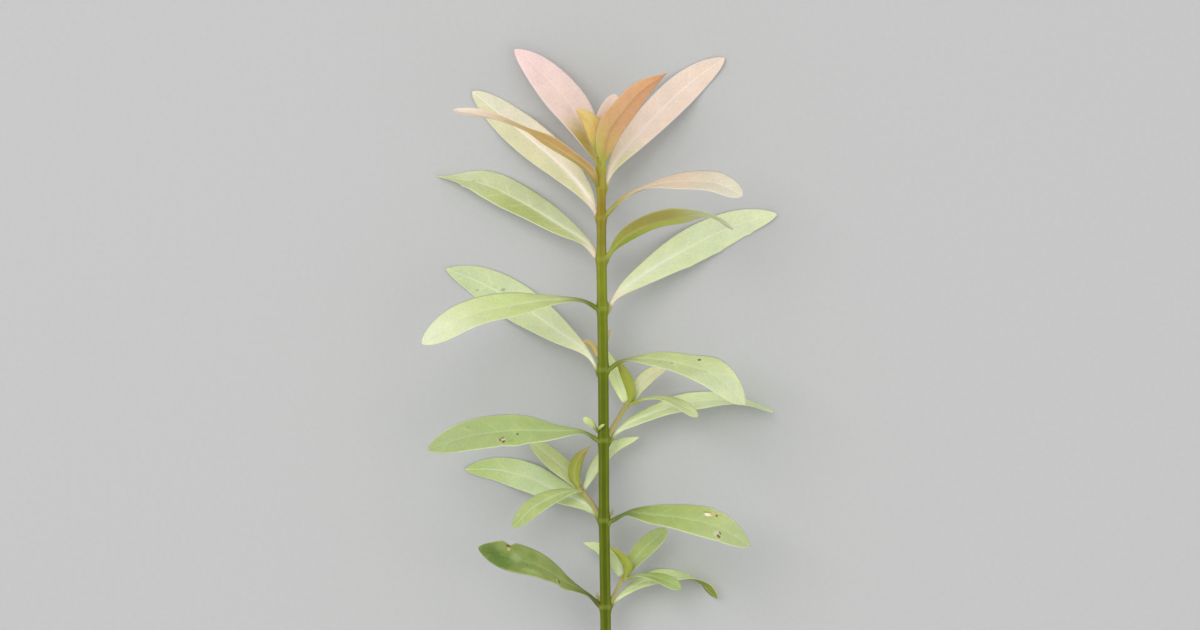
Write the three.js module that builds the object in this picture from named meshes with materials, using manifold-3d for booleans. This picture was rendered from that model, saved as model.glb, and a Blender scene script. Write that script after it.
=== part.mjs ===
// A cut stem of dwarf hygrophila, an aquarium plant with leaves in opposite pairs, laid on a table.
// X points right, Y runs along the stem to its tip and Z is up. The table is Z = 0, and the leaves
// on the table's side of the stem lie on it. Sizes are in millimetres and angles in degrees.
import * as THREE from "three";
import { mergeVertices } from "three/addons/utils/BufferGeometryUtils.js";
import Module from "manifold-3d";

const wasm = await Module();
wasm.setup();

// Driving dimensions of the whole plant.
const GAP = 0.3; // clearance where one piece meets another
const BLADE_THICKNESS = 0.42;
const YOUNG_BLADE_THICKNESS = 0.36;
const STALK_RADIUS = 0.52; // of a full-size leaf's stalk
const STALK_FLARE = 0.35; // widening of the stalk where it clasps the stem
const KEEL = 0.14; // how far the midrib stands below the blade
const FOLD = 0.13; // rise of a margin above the midrib, as a share of the half width
const TAPER = 0.66; // of a leaf's tip: 1 draws it to a straight point, 0.5 makes it round
const TABLE_BLEND = 1.2; // height over which a leaf bends into lying flat

// The stem's axis: each joint's place, and the radius of the stem above it.
const STEM_CUT = [1.2, -67.3, 7.6];
const JOINTS = [
  { at: [1.1, -55.4, 8.2], radius: 1.28 },
  { at: [0.8, -36.3, 9.2], radius: 1.28 },
  { at: [0.7, -18.6, 10.0], radius: 1.27 },
  { at: [0.6, -3.0, 10.7], radius: 1.27 },
  { at: [0.4, 10.4, 11.3], radius: 1.25 },
  { at: [0.2, 21.3, 11.7], radius: 1.16 },
  { at: [0.2, 30.4, 12.0], radius: 1.04 },
  { at: [0.2, 37.3, 12.1], radius: 0.93 },
  { at: [0.1, 41.2, 12.2], radius: 0.76 },
  { at: [0.2, 43.6, 12.4], radius: 0.55 },
];
const STEM_SIDES = 12;
const STEM_SQUARENESS = 0.04; // the four faces are hollowed by this share of the radius
const JOINT_SWELLING = 0.15;
const STEM_TIP_LENGTH = 1.0;

// The leaves. Each point of a midrib is x, y, z and the angle that the upper side faces there:
// 90 faces straight up from the table, 0 faces along the stem to its tip, and below 0 the leaf
// shows its underside from above. The stalk is the share of the length with hardly any blade,
// the blade is widest at the share of its length given by widest, and taper shapes its tip.
const LEAVES = {
  leaf_1_left: {
    halfWidth: 3.6, stalk: 0.04, widest: 0.64, tint: "old",
    midrib: [
      [0.0, -55.4, 8.6, 25], [-2.1, -53.1, 10.5, 38], [-8.0, -49.5, 15, 47],
      [-13.9, -45.7, 20, 55], [-20.8, -43.4, 23.5, 72], [-26.6, -41.6, 24, 80],
    ],
  },
  leaf_1_right: {
    halfWidth: 3.4, stalk: 0.07, widest: 0.6, taper: 0.7, tint: "green",
    midrib: [
      [2.1, -55.2, 7.8, 35], [5.5, -52.3, 6.5, 30], [11.1, -49.7, 4.3, 28],
      [16.5, -49.0, 3.2, 17], [21.3, -49.9, 2.7, 3], [26.0, -53.9, 2.2, -35],
    ],
  },
  leaf_2_left: {
    halfWidth: 3.4, stalk: 0.03, widest: 0.56, taper: 0.7, tint: "green",
    midrib: [
      [-0.2, -35.9, 8.8, 70], [-3.2, -33.0, 7.4, 70], [-10.1, -29.9, 3.6, 70],
      [-16.0, -27.2, 0.8, 72], [-23.0, -25.4, -1.2, 76], [-30.0, -25.3, 0.6, 76],
    ],
  },
  leaf_2_right: {
    halfWidth: 3.8, stalk: 0.05, widest: 0.62, tint: "green",
    midrib: [
      [2.1, -36.6, 9.7, 32], [6.0, -34.6, 13, 42], [11.8, -34.85, 18, 48],
      [18.4, -35.4, 22.5, 55], [25.6, -37.2, 25.5, 62], [32.5, -41.2, 26, 66],
    ],
  },
  leaf_3_left: {
    halfWidth: 4.05, stalk: 0.04, widest: 0.6, tint: "green",
    midrib: [
      [-0.3, -18.8, 10.4, 30], [-3.5, -16.9, 13, 33], [-11.1, -16.5, 17.5, 45],
      [-19.3, -16.3, 20.5, 59], [-28.5, -17.4, 22, 66], [-37.7, -20.3, 21.5, 70],
    ],
  },
  leaf_3_right: {
    halfWidth: 4.0, stalk: 0.05, widest: 0.6, tint: "green",
    midrib: [
      [2.0, -18.4, 9.6, 42], [4.8, -15.9, 8.4, 37], [12.3, -12.6, 5.7, 31],
      [20.5, -10.5, 3.6, 26], [29.1, -10.1, 3.0, 20], [38.3, -12.5, 2.3, 8],
    ],
  },
  leaf_4_left: {
    halfWidth: 4.4, stalk: 0.05, widest: 0.6, taper: 0.8, tint: "green",
    midrib: [
      [-0.3, -3.4, 10.2, 75], [-2.9, 0.5, 8.8, 75], [-9.5, 5.4, 4.4, 77],
      [-17.1, 10.7, 0.5, 78], [-26.1, 15.9, -1.6, 78], [-34.4, 19.3, 0.6, 75],
    ],
  },
  leaf_4_right: {
    halfWidth: 4.0, stalk: 0.04, widest: 0.64, tint: "green",
    midrib: [
      [1.9, -3.0, 11.2, 25], [4.7, -1.1, 13.5, 32], [11.3, -0.7, 19, 34],
      [18.1, -1.9, 24, 39], [25.0, -4.4, 28.5, 52], [31.3, -10.4, 30, 65],
    ],
  },
  leaf_5_left: {
    halfWidth: 4.2, stalk: 0.04, widest: 0.62, tint: "pale",
    midrib: [
      [-0.3, 10.1, 11.8, 26], [-3.3, 11.9, 14, 28], [-10.0, 12.2, 18.5, 32],
      [-18.6, 11.1, 23.5, 41], [-29.1, 8.6, 28, 51], [-38.7, 2.8, 29, 70],
    ],
  },
  leaf_5_right: {
    halfWidth: 4.1, stalk: 0.03, widest: 0.58, taper: 0.7, tint: "pale",
    midrib: [
      [1.7, 10.8, 10.8, 72], [4.15, 13.85, 9.6, 72], [11.7, 19.3, 5, 75],
      [20.7, 24.5, 0.8, 77], [30.0, 28.9, -1.6, 77], [39.2, 31.4, 0.6, 75],
    ],
  },
  leaf_6_left: {
    halfWidth: 4.1, stalk: 0.05, widest: 0.6, taper: 0.72, tint: "yellow",
    midrib: [
      [-0.3, 21.2, 11.3, 60], [-3.1, 24.9, 9.6, 58], [-8.4, 28.4, 6.2, 55],
      [-17.5, 34.0, 2.7, 55], [-26.0, 38.0, 1.2, 47], [-36.3, 39.8, 0.6, 15],
    ],
  },
  leaf_6_right: {
    halfWidth: 3.65, stalk: 0.04, widest: 0.58, tint: "olive",
    midrib: [
      [1.2, 21.4, 12.2, -44], [3.9, 24.8, 14.5, -40], [8.9, 28.1, 19, -35],
      [15.5, 30.0, 25.5, -26], [23.2, 30.4, 31, -18], [28.7, 27.6, 33.5, -28],
    ],
  },
  leaf_7_left: {
    halfWidth: 4.1, stalk: 0.03, widest: 0.58, tint: "cream",
    midrib: [
      [-0.5, 30.5, 11.6, 75], [-3.1, 35.6, 9.6, 78], [-8.6, 41.9, 6, 80],
      [-15.2, 47.7, 2.4, 80], [-21.8, 53.2, -0.8, 80], [-28.5, 58.7, 0.5, 78],
    ],
  },
  leaf_7_right: {
    halfWidth: 3.9, stalk: 0.04, widest: 0.64, taper: 0.6, tint: "peach",
    midrib: [
      [1.2, 31.0, 12.5, 40], [4.7, 34.3, 15.5, 36], [10.8, 37.1, 20.5, 28],
      [18.1, 37.9, 25.5, 32], [25.0, 37.5, 29, 46], [30.7, 34.8, 30.5, 60],
    ],
  },
  leaf_8_left: {
    halfWidth: 2.8, stalk: 0.03, widest: 0.56, taper: 0.55, tint: "gold",
    midrib: [
      [-0.3, 36.7, 12.5, -36], [-2.1, 40.4, 14.6, -36], [-7.2, 44.2, 18.8, -34],
      [-15.1, 48.8, 22.5, -3], [-23.6, 52.0, 25, -12], [-32.1, 53.5, 26.5, -32],
    ],
  },
  leaf_8_right: {
    halfWidth: 3.75, stalk: 0.04, widest: 0.6, taper: 0.64, tint: "peach",
    midrib: [
      [0.9, 37.0, 11.7, 72], [2.75, 41.7, 9.8, 76], [7.9, 48.4, 6.6, 80],
      [14.3, 55.3, 3.2, 80], [20.9, 61.4, -0.4, 80], [27.6, 66.1, 0.6, 78],
    ],
  },
  leaf_9_left: {
    halfWidth: 4.2, stalk: 0.04, widest: 0.54, taper: 0.76, tint: "pink",
    midrib: [
      [-0.3, 40.9, 12, 65], [-1.7, 46.0, 10.4, 70], [-4.9, 52.7, 8, 75],
      [-8.9, 57.9, 6, 78], [-13.7, 63.2, 4.4, 78], [-19.1, 67.9, 3.4, 75],
    ],
  },
  leaf_9_right: {
    halfWidth: 3.0, stalk: 0.03, widest: 0.46, taper: 0.9, tint: "orange",
    midrib: [
      [0.5, 41.3, 12.6, -75], [0.8, 44.8, 14.4, -70], [2.0, 49.4, 16.8, -62],
      [5.0, 53.6, 19.2, -58], [8.7, 57.8, 21.2, -58], [14.5, 61.8, 22.4, -58],
    ],
  },
};

// The young leaves at the stem's tip and on the three side shoots, and the bud leaves.
const YOUNG_LEAVES = {
  tip_leaf_left: {
    halfWidth: 2.1, widest: 0.5, tint: "gold",
    midrib: [[0.0, 43.8, 12.9, -60], [-0.6, 47.4, 13.8, -60], [-2.2, 51.3, 14.8, -60],
      [-5.2, 54.1, 15.6, -60]],
  },
  tip_leaf_right: {
    halfWidth: 2.2, widest: 0.55, taper: 0.5, tint: "pink",
    midrib: [[0.4, 43.8, 12.1, 75], [0.7, 47.3, 11.6, 75], [1.3, 52.5, 11.8, 75],
      [3.35, 57.5, 12.6, 75]],
  },
  high_shoot_leaf_1: {
    halfWidth: 1.55, widest: 0.5, tint: "pale",
    midrib: [[5.9, -11.1, 7.6, 70], [4.4, -7.2, 6.4, 72], [2.4, -2.5, 5.4, 75], [1.2, 1.3, 5.2, 75]],
  },
  high_shoot_leaf_2: {
    halfWidth: 1.15, widest: 0.48, tint: "olive",
    midrib: [[6.4, -10.6, 8.4, -65], [6.8, -8.4, 9.0, -65], [5.9, -5.2, 9.8, -65],
      [3.65, -0.8, 10.4, -60]],
  },
  high_shoot_leaf_3: {
    halfWidth: 1.65, widest: 0.5, tint: "cream",
    midrib: [[6.8, -10.2, 8, 70], [8.45, -6.8, 7.2, 72], [11.2, -4.1, 6.4, 75], [14.9, -2.3, 6, 75]],
  },
  high_shoot_leaf_4: {
    halfWidth: 1.4, stalk: 0.18, widest: 0.7, taper: 0.5, tint: "pale",
    midrib: [[6.6, -10.7, 8.6, 30], [8.9, -9.7, 9.6, 30], [12.0, -9.2, 10.4, 32],
      [15.3, -9.7, 10.8, 42], [18.6, -11.4, 10.8, 52], [21.5, -13.3, 10.2, 58]],
  },
  left_shoot_leaf_1: {
    halfWidth: 2.2, widest: 0.54, taper: 0.5, tint: "green",
    midrib: [[-4.4, -29.5, 7.4, 70], [-6.6, -26.5, 6.2, 72], [-10.5, -23.0, 5.6, 74],
      [-15.4, -18.9, 5.0, 74]],
  },
  left_shoot_leaf_2: {
    halfWidth: 2.15, widest: 0.6, taper: 0.55, tint: "green",
    midrib: [[-4.5, -29.7, 8.6, 35], [-7.6, -30.1, 9.8, 42], [-11.7, -31.6, 11.2, 58],
      [-15.5, -33.9, 12, 68], [-19.3, -37.8, 12, 72]],
  },
  left_shoot_leaf_3: {
    halfWidth: 1.45, widest: 0.42, taper: 1.2, tint: "olive",
    midrib: [[-4.7, -29.4, 8.6, -65], [-5.8, -26.6, 9.2, -65], [-5.4, -23.9, 9.8, -65],
      [-4.15, -21.7, 10.2, -60], [-2.1, -19.7, 10.5, -60]],
  },
  left_shoot_leaf_4: {
    halfWidth: 1.4, widest: 0.55, taper: 0.7, tint: "green",
    midrib: [[-4.0, -30.3, 7.4, 65], [-2.8, -27.8, 6.2, 70], [-0.8, -24.1, 5.4, 74],
      [2.95, -20.2, 5.2, 76], [8.5, -18.0, 5.4, 76]],
  },
  low_shoot_leaf_1: {
    halfWidth: 1.5, widest: 0.45, taper: 0.9, tint: "pale",
    midrib: [[5.0, -49.6, 6.4, 70], [3.0, -45.6, 5, 74], [-0.1, -42.7, 4.4, 76],
      [-3.8, -41.4, 4.6, 76]],
  },
  low_shoot_leaf_2: {
    halfWidth: 1.05, widest: 0.45, tint: "olive",
    midrib: [[5.5, -48.9, 7.8, -65], [6.1, -46.5, 8.8, -60], [4.4, -44.0, 9.8, -45],
      [2.2, -42.1, 10.7, -35]],
  },
  low_shoot_leaf_3: {
    halfWidth: 2.15, widest: 0.58, taper: 0.52, tint: "green",
    midrib: [[5.6, -48.7, 7, 70], [7.3, -45.3, 6.6, 74], [10.3, -42.0, 6.2, 76], [14.7, -38.3, 6, 76]],
  },
  low_shoot_leaf_4: {
    halfWidth: 1.55, stalk: 0.18, widest: 0.7, taper: 0.5, tint: "green",
    midrib: [[5.4, -49.3, 7.6, 40], [8.7, -48.4, 8.6, 42], [12.0, -48.8, 9.2, 50],
      [14.9, -49.8, 9.2, 55], [17.8, -51.3, 8.8, 60]],
  },
  bud_leaf_3_left: {
    halfWidth: 0.9, widest: 0.7, taper: 0.5, tint: "pale",
    midrib: [[-0.3, -17.0, 10.2, 50], [-1.6, -15.4, 10.6, 60], [-3.7, -13.6, 10.9, 70]],
  },
  bud_leaf_3_front: {
    halfWidth: 0.35, widest: 0.55, tint: "pale",
    midrib: [[-0.6, -16.4, 10.9, 60], [0.0, -15.6, 11.8, 70], [0.9, -15.0, 12.2, 75]],
  },
  bud_leaf_4_left: {
    halfWidth: 0.85, widest: 0.5, taper: 0.5, tint: "gold",
    midrib: [[-0.3, -0.9, 10.8, -50], [-1.1, 1.2, 11, -50], [-2.2, 2.6, 11.1, -50],
      [-4.1, 3.4, 10.9, -40]],
  },
  bud_leaf_4_right: {
    halfWidth: 0.65, widest: 0.6, tint: "pink",
    midrib: [[1.1, 0.4, 9.4, 60], [1.2, 3.0, 8.6, 65], [2.4, 5.9, 8.5, 70]],
  },
};

// The side shoots' thin stems and the smallest buds, each a tapering rod through its points.
const SHOOT_RADIUS = 0.55;
const RODS = {
  high_shoot_stem: {
    radii: [0.6, SHOOT_RADIUS, SHOOT_RADIUS, 0.58], tint: "shoot",
    points: [[1.9, -17.3, 9.9], [3.6, -14.4, 9.4], [5.2, -11.7, 8.6], [6.5, -10.0, 8.0]],
  },
  left_shoot_stem: {
    radii: [0.6, SHOOT_RADIUS, SHOOT_RADIUS, 0.58], tint: "shoot",
    points: [[-0.4, -34.8, 8.9], [-2.2, -32.2, 8.6], [-3.6, -30.5, 8.2], [-4.9, -29.2, 7.9]],
  },
  low_shoot_stem: {
    radii: [0.5, 0.43, 0.43, 0.48], tint: "shoot",
    points: [[1.9, -54.8, 8.1], [3.3, -52.3, 7.8], [4.4, -50.1, 7.4], [5.5, -48.7, 7.1]],
  },
  tip_bud: {
    radii: [0.3, 0.5, 0.42, 0.12], tint: "gold",
    points: [[0.2, 45.0, 12.5], [0.25, 45.8, 12.55], [0.35, 46.8, 12.7], [0.5, 47.8, 12.9]],
  },
  bud_1_left: {
    radii: [0.36, 0.4, 0.36, 0.2], tint: "pink",
    points: [[0.0, -54.2, 8.7], [-0.5, -53.4, 8.85], [-0.75, -52.8, 8.95], [-0.8, -52.3, 9.0]],
  },
  bud_2_right: {
    radii: [0.3, 0.34, 0.26, 0.1], tint: "pink",
    points: [[1.9, -35.4, 9.6], [2.3, -34.8, 9.7], [2.6, -34.3, 9.8], [2.9, -33.7, 9.9]],
  },
};
const ROD_SIDES = 8;

const COLOURS = {
  stem: "#748329",
  old: "#8aa95a",
  green: "#bdd293",
  pale: "#cfdea2",
  yellow: "#c6d28c",
  olive: "#a7a84c",
  cream: "#e6dfc0",
  gold: "#c9a858",
  peach: "#efdccb",
  pink: "#efd3cd",
  orange: "#dda67a",
  shoot: "#b9a070",
};

// Shares of the length at which a leaf has a cross-section; the tip is a single point at 1.
const LEAF_SECTIONS = [0, 0.04, 0.09, 0.16, 0.25, 0.36, 0.47, 0.58, 0.69, 0.79, 0.87, 0.93, 0.97, 0.993];
const YOUNG_SECTIONS = [0, 0.07, 0.18, 0.34, 0.52, 0.7, 0.86, 0.96];

// A closed surface through rings of points that share one count, closed at both ends on a point.
function loft(rings, startPoint, endPoint) {
  const sides = rings[0].length;
  const points = [startPoint, ...rings.flat(), endPoint];
  const last = points.length - 1;
  const faces = [];
  for (let side = 0; side < sides; side += 1) {
    const next = (side + 1) % sides;
    faces.push(0, 1 + next, 1 + side);
    faces.push(last, last - sides + side, last - sides + next);
    for (let ring = 0; ring < rings.length - 1; ring += 1) {
      const here = 1 + ring * sides;
      const above = here + sides;
      faces.push(here + side, here + next, above + next);
      faces.push(here + side, above + next, above + side);
    }
  }
  const geometry = new THREE.BufferGeometry().setFromPoints(points);
  return geometry.setIndex(faces);
}

// A closed geometry as a solid that can be cut, whichever way round its rings ran.
function solidFrom(geometry) {
  const merged = mergeVertices(geometry, 1e-4);
  const vertProperties = merged.attributes.position.array;
  const triVerts = new Uint32Array(merged.index.array);
  const make = () => new wasm.Manifold(new wasm.Mesh({ numProp: 3, vertProperties, triVerts }));
  let solid = make();
  if (solid.volume() < 0) {
    triVerts.reverse();
    solid = make();
  }
  return solid;
}

// The stem as rings across its axis, each joint a slight swelling. grow adds to the radius all round.
function stemSolid(grow = 0) {
  const rings = [];
  const addRing = (x, y, z, radius) => {
    const ring = [];
    for (let side = 0; side < STEM_SIDES; side += 1) {
      const angle = (2 * Math.PI * side) / STEM_SIDES;
      const reach = radius * (1 - STEM_SQUARENESS * Math.cos(4 * angle)) + grow;
      ring.push(new THREE.Vector3(x + reach * Math.cos(angle), y, z + reach * Math.sin(angle)));
    }
    rings.push(ring);
  };
  const start = new THREE.Vector3(...STEM_CUT);
  const firstRadius = JOINTS[0].radius;
  addRing(start.x, start.y - grow, start.z, firstRadius);
  let from = start;
  let radiusBelow = firstRadius;
  JOINTS.forEach(({ at, radius }, index) => {
    const joint = new THREE.Vector3(...at);
    const above = index + 1 < JOINTS.length ? new THREE.Vector3(...JOINTS[index + 1].at) : null;
    const roomBelow = joint.distanceTo(from);
    const roomAbove = above ? above.distanceTo(joint) : STEM_TIP_LENGTH;
    const along = (share, other) => joint.clone().lerp(other, share);
    const below = along(Math.min(1.8 / roomBelow, 0.4), from);
    const shoulder = along(Math.min(0.4 / roomBelow, 0.15), from);
    addRing(below.x, below.y, below.z, radiusBelow);
    addRing(shoulder.x, shoulder.y, shoulder.z, radiusBelow * (1 + JOINT_SWELLING));
    if (above) {
      const ledge = along(Math.min(0.6 / roomAbove, 0.2), above);
      const neck = along(Math.min(2.2 / roomAbove, 0.45), above);
      addRing(ledge.x, ledge.y, ledge.z, radius * (1 + JOINT_SWELLING));
      addRing(neck.x, neck.y, neck.z, radius);
    } else {
      addRing(joint.x, joint.y + STEM_TIP_LENGTH + grow, joint.z, radius * 0.6);
    }
    from = joint;
    radiusBelow = radius;
  });
  const top = JOINTS[JOINTS.length - 1].at;
  const end = new THREE.Vector3(top[0], top[1] + STEM_TIP_LENGTH + grow, top[2]);
  return solidFrom(loft(rings, new THREE.Vector3(start.x, start.y - grow, start.z), end));
}

// Height of a surface that would pass below the table, eased so that it comes to lie at its rest height.
function layOnTable(height, restHeight) {
  const near = Math.max(TABLE_BLEND - Math.abs(height - restHeight), 0) / TABLE_BLEND;
  return Math.max(height, restHeight) + (near * near * TABLE_BLEND) / 4;
}

// Half the width of a leaf's blade at a share of its length, as a share of the widest half width.
function outline(share, stalk, widest, taper) {
  const along = Math.max((share - stalk) / (1 - stalk), 0);
  const baseTaper = (taper * widest) / (1 - widest);
  return (along / widest) ** baseTaper * ((1 - along) / (1 - widest)) ** taper;
}

// A leaf as a lens-shaped section swept along its midrib. grow adds to it on every side.
function leafSolid(leaf, grow = 0) {
  const { halfWidth, widest, midrib, stalk = 0.02, taper = TAPER, young = false } = leaf;
  const sections = young ? YOUNG_SECTIONS : LEAF_SECTIONS;
  const thickness = young ? YOUNG_BLADE_THICKNESS : BLADE_THICKNESS;
  const size = young ? Math.min(halfWidth / 3, 1) + 0.25 : 1; // of the stalk, the flare and the keel
  const curve = new THREE.CatmullRomCurve3(midrib.map(([x, y, z]) => new THREE.Vector3(x, y, z)));
  const facing = new THREE.SplineCurve(midrib.map((point, index) => new THREE.Vector2(index, point[3])));
  const rings = sections.map((share) => {
    const forward = curve.getTangentAt(share);
    const centre = curve.getPointAt(share).addScaledVector(forward, share > 0 ? 0 : -grow);
    const angle = THREE.MathUtils.degToRad(facing.getPoint(curve.getUtoTmapping(share)).y);
    const upper = new THREE.Vector3(0, Math.cos(angle), Math.sin(angle));
    upper.addScaledVector(forward, -upper.dot(forward)).normalize();
    const across = new THREE.Vector3().crossVectors(forward, upper);
    const blade = halfWidth * outline(share, stalk, widest, taper);
    const stem = size * STALK_RADIUS * (1 - share);
    const flare = size * STALK_FLARE * Math.max(1 - share / 0.05, 0) ** 2;
    const reach = Math.hypot(blade, stem) + flare + grow;
    const roundness = stem ** 2 / (blade ** 2 + stem ** 2);
    const half = THREE.MathUtils.lerp(thickness / 2, size * STALK_RADIUS, roundness) + grow;
    const keel = size * KEEL * (1 - roundness) * Math.min(4 * (1 - share), 1);
    const middle = THREE.MathUtils.lerp(0.55, Math.SQRT1_2, roundness);
    const top = THREE.MathUtils.lerp(0.85, Math.SQRT1_2, roundness);
    const bottom = THREE.MathUtils.lerp(1, Math.SQRT1_2, roundness);
    const place = (sideways, height) => {
      const rise = FOLD * Math.abs(sideways) * (1 - roundness);
      const point = centre.clone().addScaledVector(across, sideways).addScaledVector(upper, rise);
      point.z = layOnTable(point.z, thickness / 2);
      point.addScaledVector(upper, height);
      point.z = Math.max(point.z, -grow);
      return point;
    };
    return [
      place(reach, 0), place(middle * reach, top * half), place(0, half),
      place(-middle * reach, top * half), place(-reach, 0), place(-middle * reach, -bottom * half),
      place(0, -half - keel), place(middle * reach, -bottom * half),
    ];
  });
  const base = new THREE.Vector3();
  rings[0].forEach((point) => base.addScaledVector(point, 1 / rings[0].length));
  const tip = curve.getPointAt(1);
  tip.z = layOnTable(tip.z, thickness / 2);
  tip.addScaledVector(curve.getTangentAt(1), grow);
  return solidFrom(loft(rings, base, tip));
}

// A tapering rod through its points, for a shoot's stem or a bud.
function rodSolid(rod, grow = 0) {
  const curve = new THREE.CatmullRomCurve3(rod.points.map((point) => new THREE.Vector3(...point)));
  const steps = 6;
  const taper = new THREE.SplineCurve(rod.radii.map((radius, index) => new THREE.Vector2(index, radius)));
  const rings = [];
  for (let step = 0; step <= steps; step += 1) {
    const share = step / steps;
    const forward = curve.getTangentAt(share);
    const centre = curve.getPointAt(share).addScaledVector(forward, share > 0 ? 0 : -grow);
    const sideways = new THREE.Vector3(0, 0, 1).cross(forward).normalize();
    const upwards = new THREE.Vector3().crossVectors(forward, sideways);
    const radius = taper.getPoint(share).y + grow;
    const ring = [];
    for (let side = 0; side < ROD_SIDES; side += 1) {
      const angle = (2 * Math.PI * side) / ROD_SIDES;
      ring.push(centre.clone().addScaledVector(sideways, radius * Math.cos(angle))
        .addScaledVector(upwards, radius * Math.sin(angle)));
    }
    rings.push(ring);
  }
  const start = curve.getPointAt(0).addScaledVector(curve.getTangentAt(0), -grow);
  const end = curve.getPointAt(1).addScaledVector(curve.getTangentAt(1), rod.radii.at(-1) + grow);
  return solidFrom(loft(rings, start, end));
}

// The part of a cut solid that is worth keeping: its largest body.
function largestBody(solid) {
  return solid.decompose().reduce((best, body) => (body.volume() > best.volume() ? body : best));
}

// Every piece stops a gap short of the pieces that were placed before it.
const plant = new THREE.Group();
const placed = [];

function addPiece(name, solid, grown, tint) {
  const near = placed.filter((other) => overlaps(other.grown.boundingBox(), solid.boundingBox()));
  const cut = near.reduce((rest, other) => rest.subtract(other.grown), solid);
  const body = near.length ? largestBody(cut) : cut;
  placed.push({ name, grown });
  const data = body.getMesh();
  const geometry = new THREE.BufferGeometry()
    .setAttribute("position", new THREE.BufferAttribute(data.vertProperties, 3))
    .setIndex(new THREE.BufferAttribute(data.triVerts, 1));
  geometry.computeVertexNormals();
  const finish = new THREE.MeshStandardMaterial({ color: COLOURS[tint], roughness: 0.6, metalness: 0 });
  const mesh = new THREE.Mesh(geometry, finish);
  mesh.name = name;
  plant.add(mesh);
}

function overlaps(one, other) {
  return one.min.every((low, axis) => low < other.max[axis] && other.min[axis] < one.max[axis]);
}

addPiece("stem", stemSolid(), stemSolid(GAP), "stem");
for (const [name, leaf] of Object.entries(LEAVES)) {
  addPiece(name, leafSolid(leaf), leafSolid(leaf, GAP), leaf.tint);
}
for (const [name, rod] of Object.entries(RODS)) {
  addPiece(name, rodSolid(rod), rodSolid(rod, GAP), rod.tint);
}
for (const [name, shape] of Object.entries(YOUNG_LEAVES)) {
  const leaf = { ...shape, young: true };
  addPiece(name, leafSolid(leaf), leafSolid(leaf, GAP), leaf.tint);
}

export default plant;
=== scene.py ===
"""Looks of a cut stem of dwarf hygrophila, laid down on a pale floor and seen from straight above.

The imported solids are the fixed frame. Each stem, leaf and bud is grown again here, finer and from
the same sizes, and stands for its solid. Sizes are in millimetres until a mesh is made of them.
X points right, Y runs along the stem to its tip and Z is up from the floor.
"""

from __future__ import annotations

import logging
import math
from dataclasses import dataclass, replace
from enum import Enum
from typing import Any

import bmesh
import bpy
import numpy as np
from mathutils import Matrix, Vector


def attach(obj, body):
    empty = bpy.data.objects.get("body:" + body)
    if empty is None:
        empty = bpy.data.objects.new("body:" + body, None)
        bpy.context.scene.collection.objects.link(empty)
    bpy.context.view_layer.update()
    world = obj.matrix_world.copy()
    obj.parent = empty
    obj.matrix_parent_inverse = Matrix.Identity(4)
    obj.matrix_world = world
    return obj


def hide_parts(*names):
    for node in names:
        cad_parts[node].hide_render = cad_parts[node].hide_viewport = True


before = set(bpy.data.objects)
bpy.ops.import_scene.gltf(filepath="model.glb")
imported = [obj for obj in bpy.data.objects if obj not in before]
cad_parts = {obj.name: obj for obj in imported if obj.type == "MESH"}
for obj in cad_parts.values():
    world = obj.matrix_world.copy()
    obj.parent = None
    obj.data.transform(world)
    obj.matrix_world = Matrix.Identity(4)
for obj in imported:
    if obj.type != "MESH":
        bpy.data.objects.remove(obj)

LOG = logging.getLogger("dwarf_hygrophila")
MM = 0.001
Point = tuple[float, float, float]
FacedPoint = tuple[float, float, float, float]
Values = dict[str, Any]

NOISE = "ShaderNodeTexNoise"
COLOURS = {"data_type": "RGBA"}
# Patterns in repeats per metre: cloudy patches of about 4 mm on a leaf and 3 mm on a stem, cells of
# 0.9 mm between the finest veins, the ragged edge of dead tissue, the floor board's grain of about
# 1 mm, and cells of the skin. Those are drawn at about 0.2 mm, coarser than real ones, so that they
# break up the gloss.
LEAF_PATCHES = 250.0
STEM_PATCHES = 300.0
VEIN_CELLS = 1100.0
RAGGED_EDGE = 1400.0
BOARD_GRAIN = 900.0
SKIN_CELLS = 4500.0


class Step(Enum):
    """What one node of a chain does: its type name and its settings."""

    ABSOLUTE = ("ShaderNodeMath", {"operation": "ABSOLUTE"})
    ADD = ("ShaderNodeMath", {"operation": "ADD"})
    COSINE = ("ShaderNodeMath", {"operation": "COSINE"})
    DIVIDE = ("ShaderNodeMath", {"operation": "DIVIDE"})
    EXPONENT = ("ShaderNodeMath", {"operation": "EXPONENT"})
    MAXIMUM = ("ShaderNodeMath", {"operation": "MAXIMUM"})
    MINIMUM = ("ShaderNodeMath", {"operation": "MINIMUM"})
    MULTIPLY = ("ShaderNodeMath", {"operation": "MULTIPLY"})
    MULTIPLY_ADD = ("ShaderNodeMath", {"operation": "MULTIPLY_ADD"})
    PINGPONG = ("ShaderNodeMath", {"operation": "PINGPONG"})
    POWER = ("ShaderNodeMath", {"operation": "POWER"})
    SIGN = ("ShaderNodeMath", {"operation": "SIGN"})
    SINE = ("ShaderNodeMath", {"operation": "SINE"})
    SQRT = ("ShaderNodeMath", {"operation": "SQRT"})
    SUBTRACT = ("ShaderNodeMath", {"operation": "SUBTRACT"})
    COMBINE = ("ShaderNodeCombineXYZ", {})
    VECTOR_MAXIMUM = ("ShaderNodeVectorMath", {"operation": "MAXIMUM"})
    VECTOR_MULTIPLY = ("ShaderNodeVectorMath", {"operation": "MULTIPLY"})
    VECTOR_MULTIPLY_ADD = ("ShaderNodeVectorMath", {"operation": "MULTIPLY_ADD"})
    RANGE = ("ShaderNodeMapRange", {})
    EASE = ("ShaderNodeMapRange", {"interpolation_type": "SMOOTHSTEP"})


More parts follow.
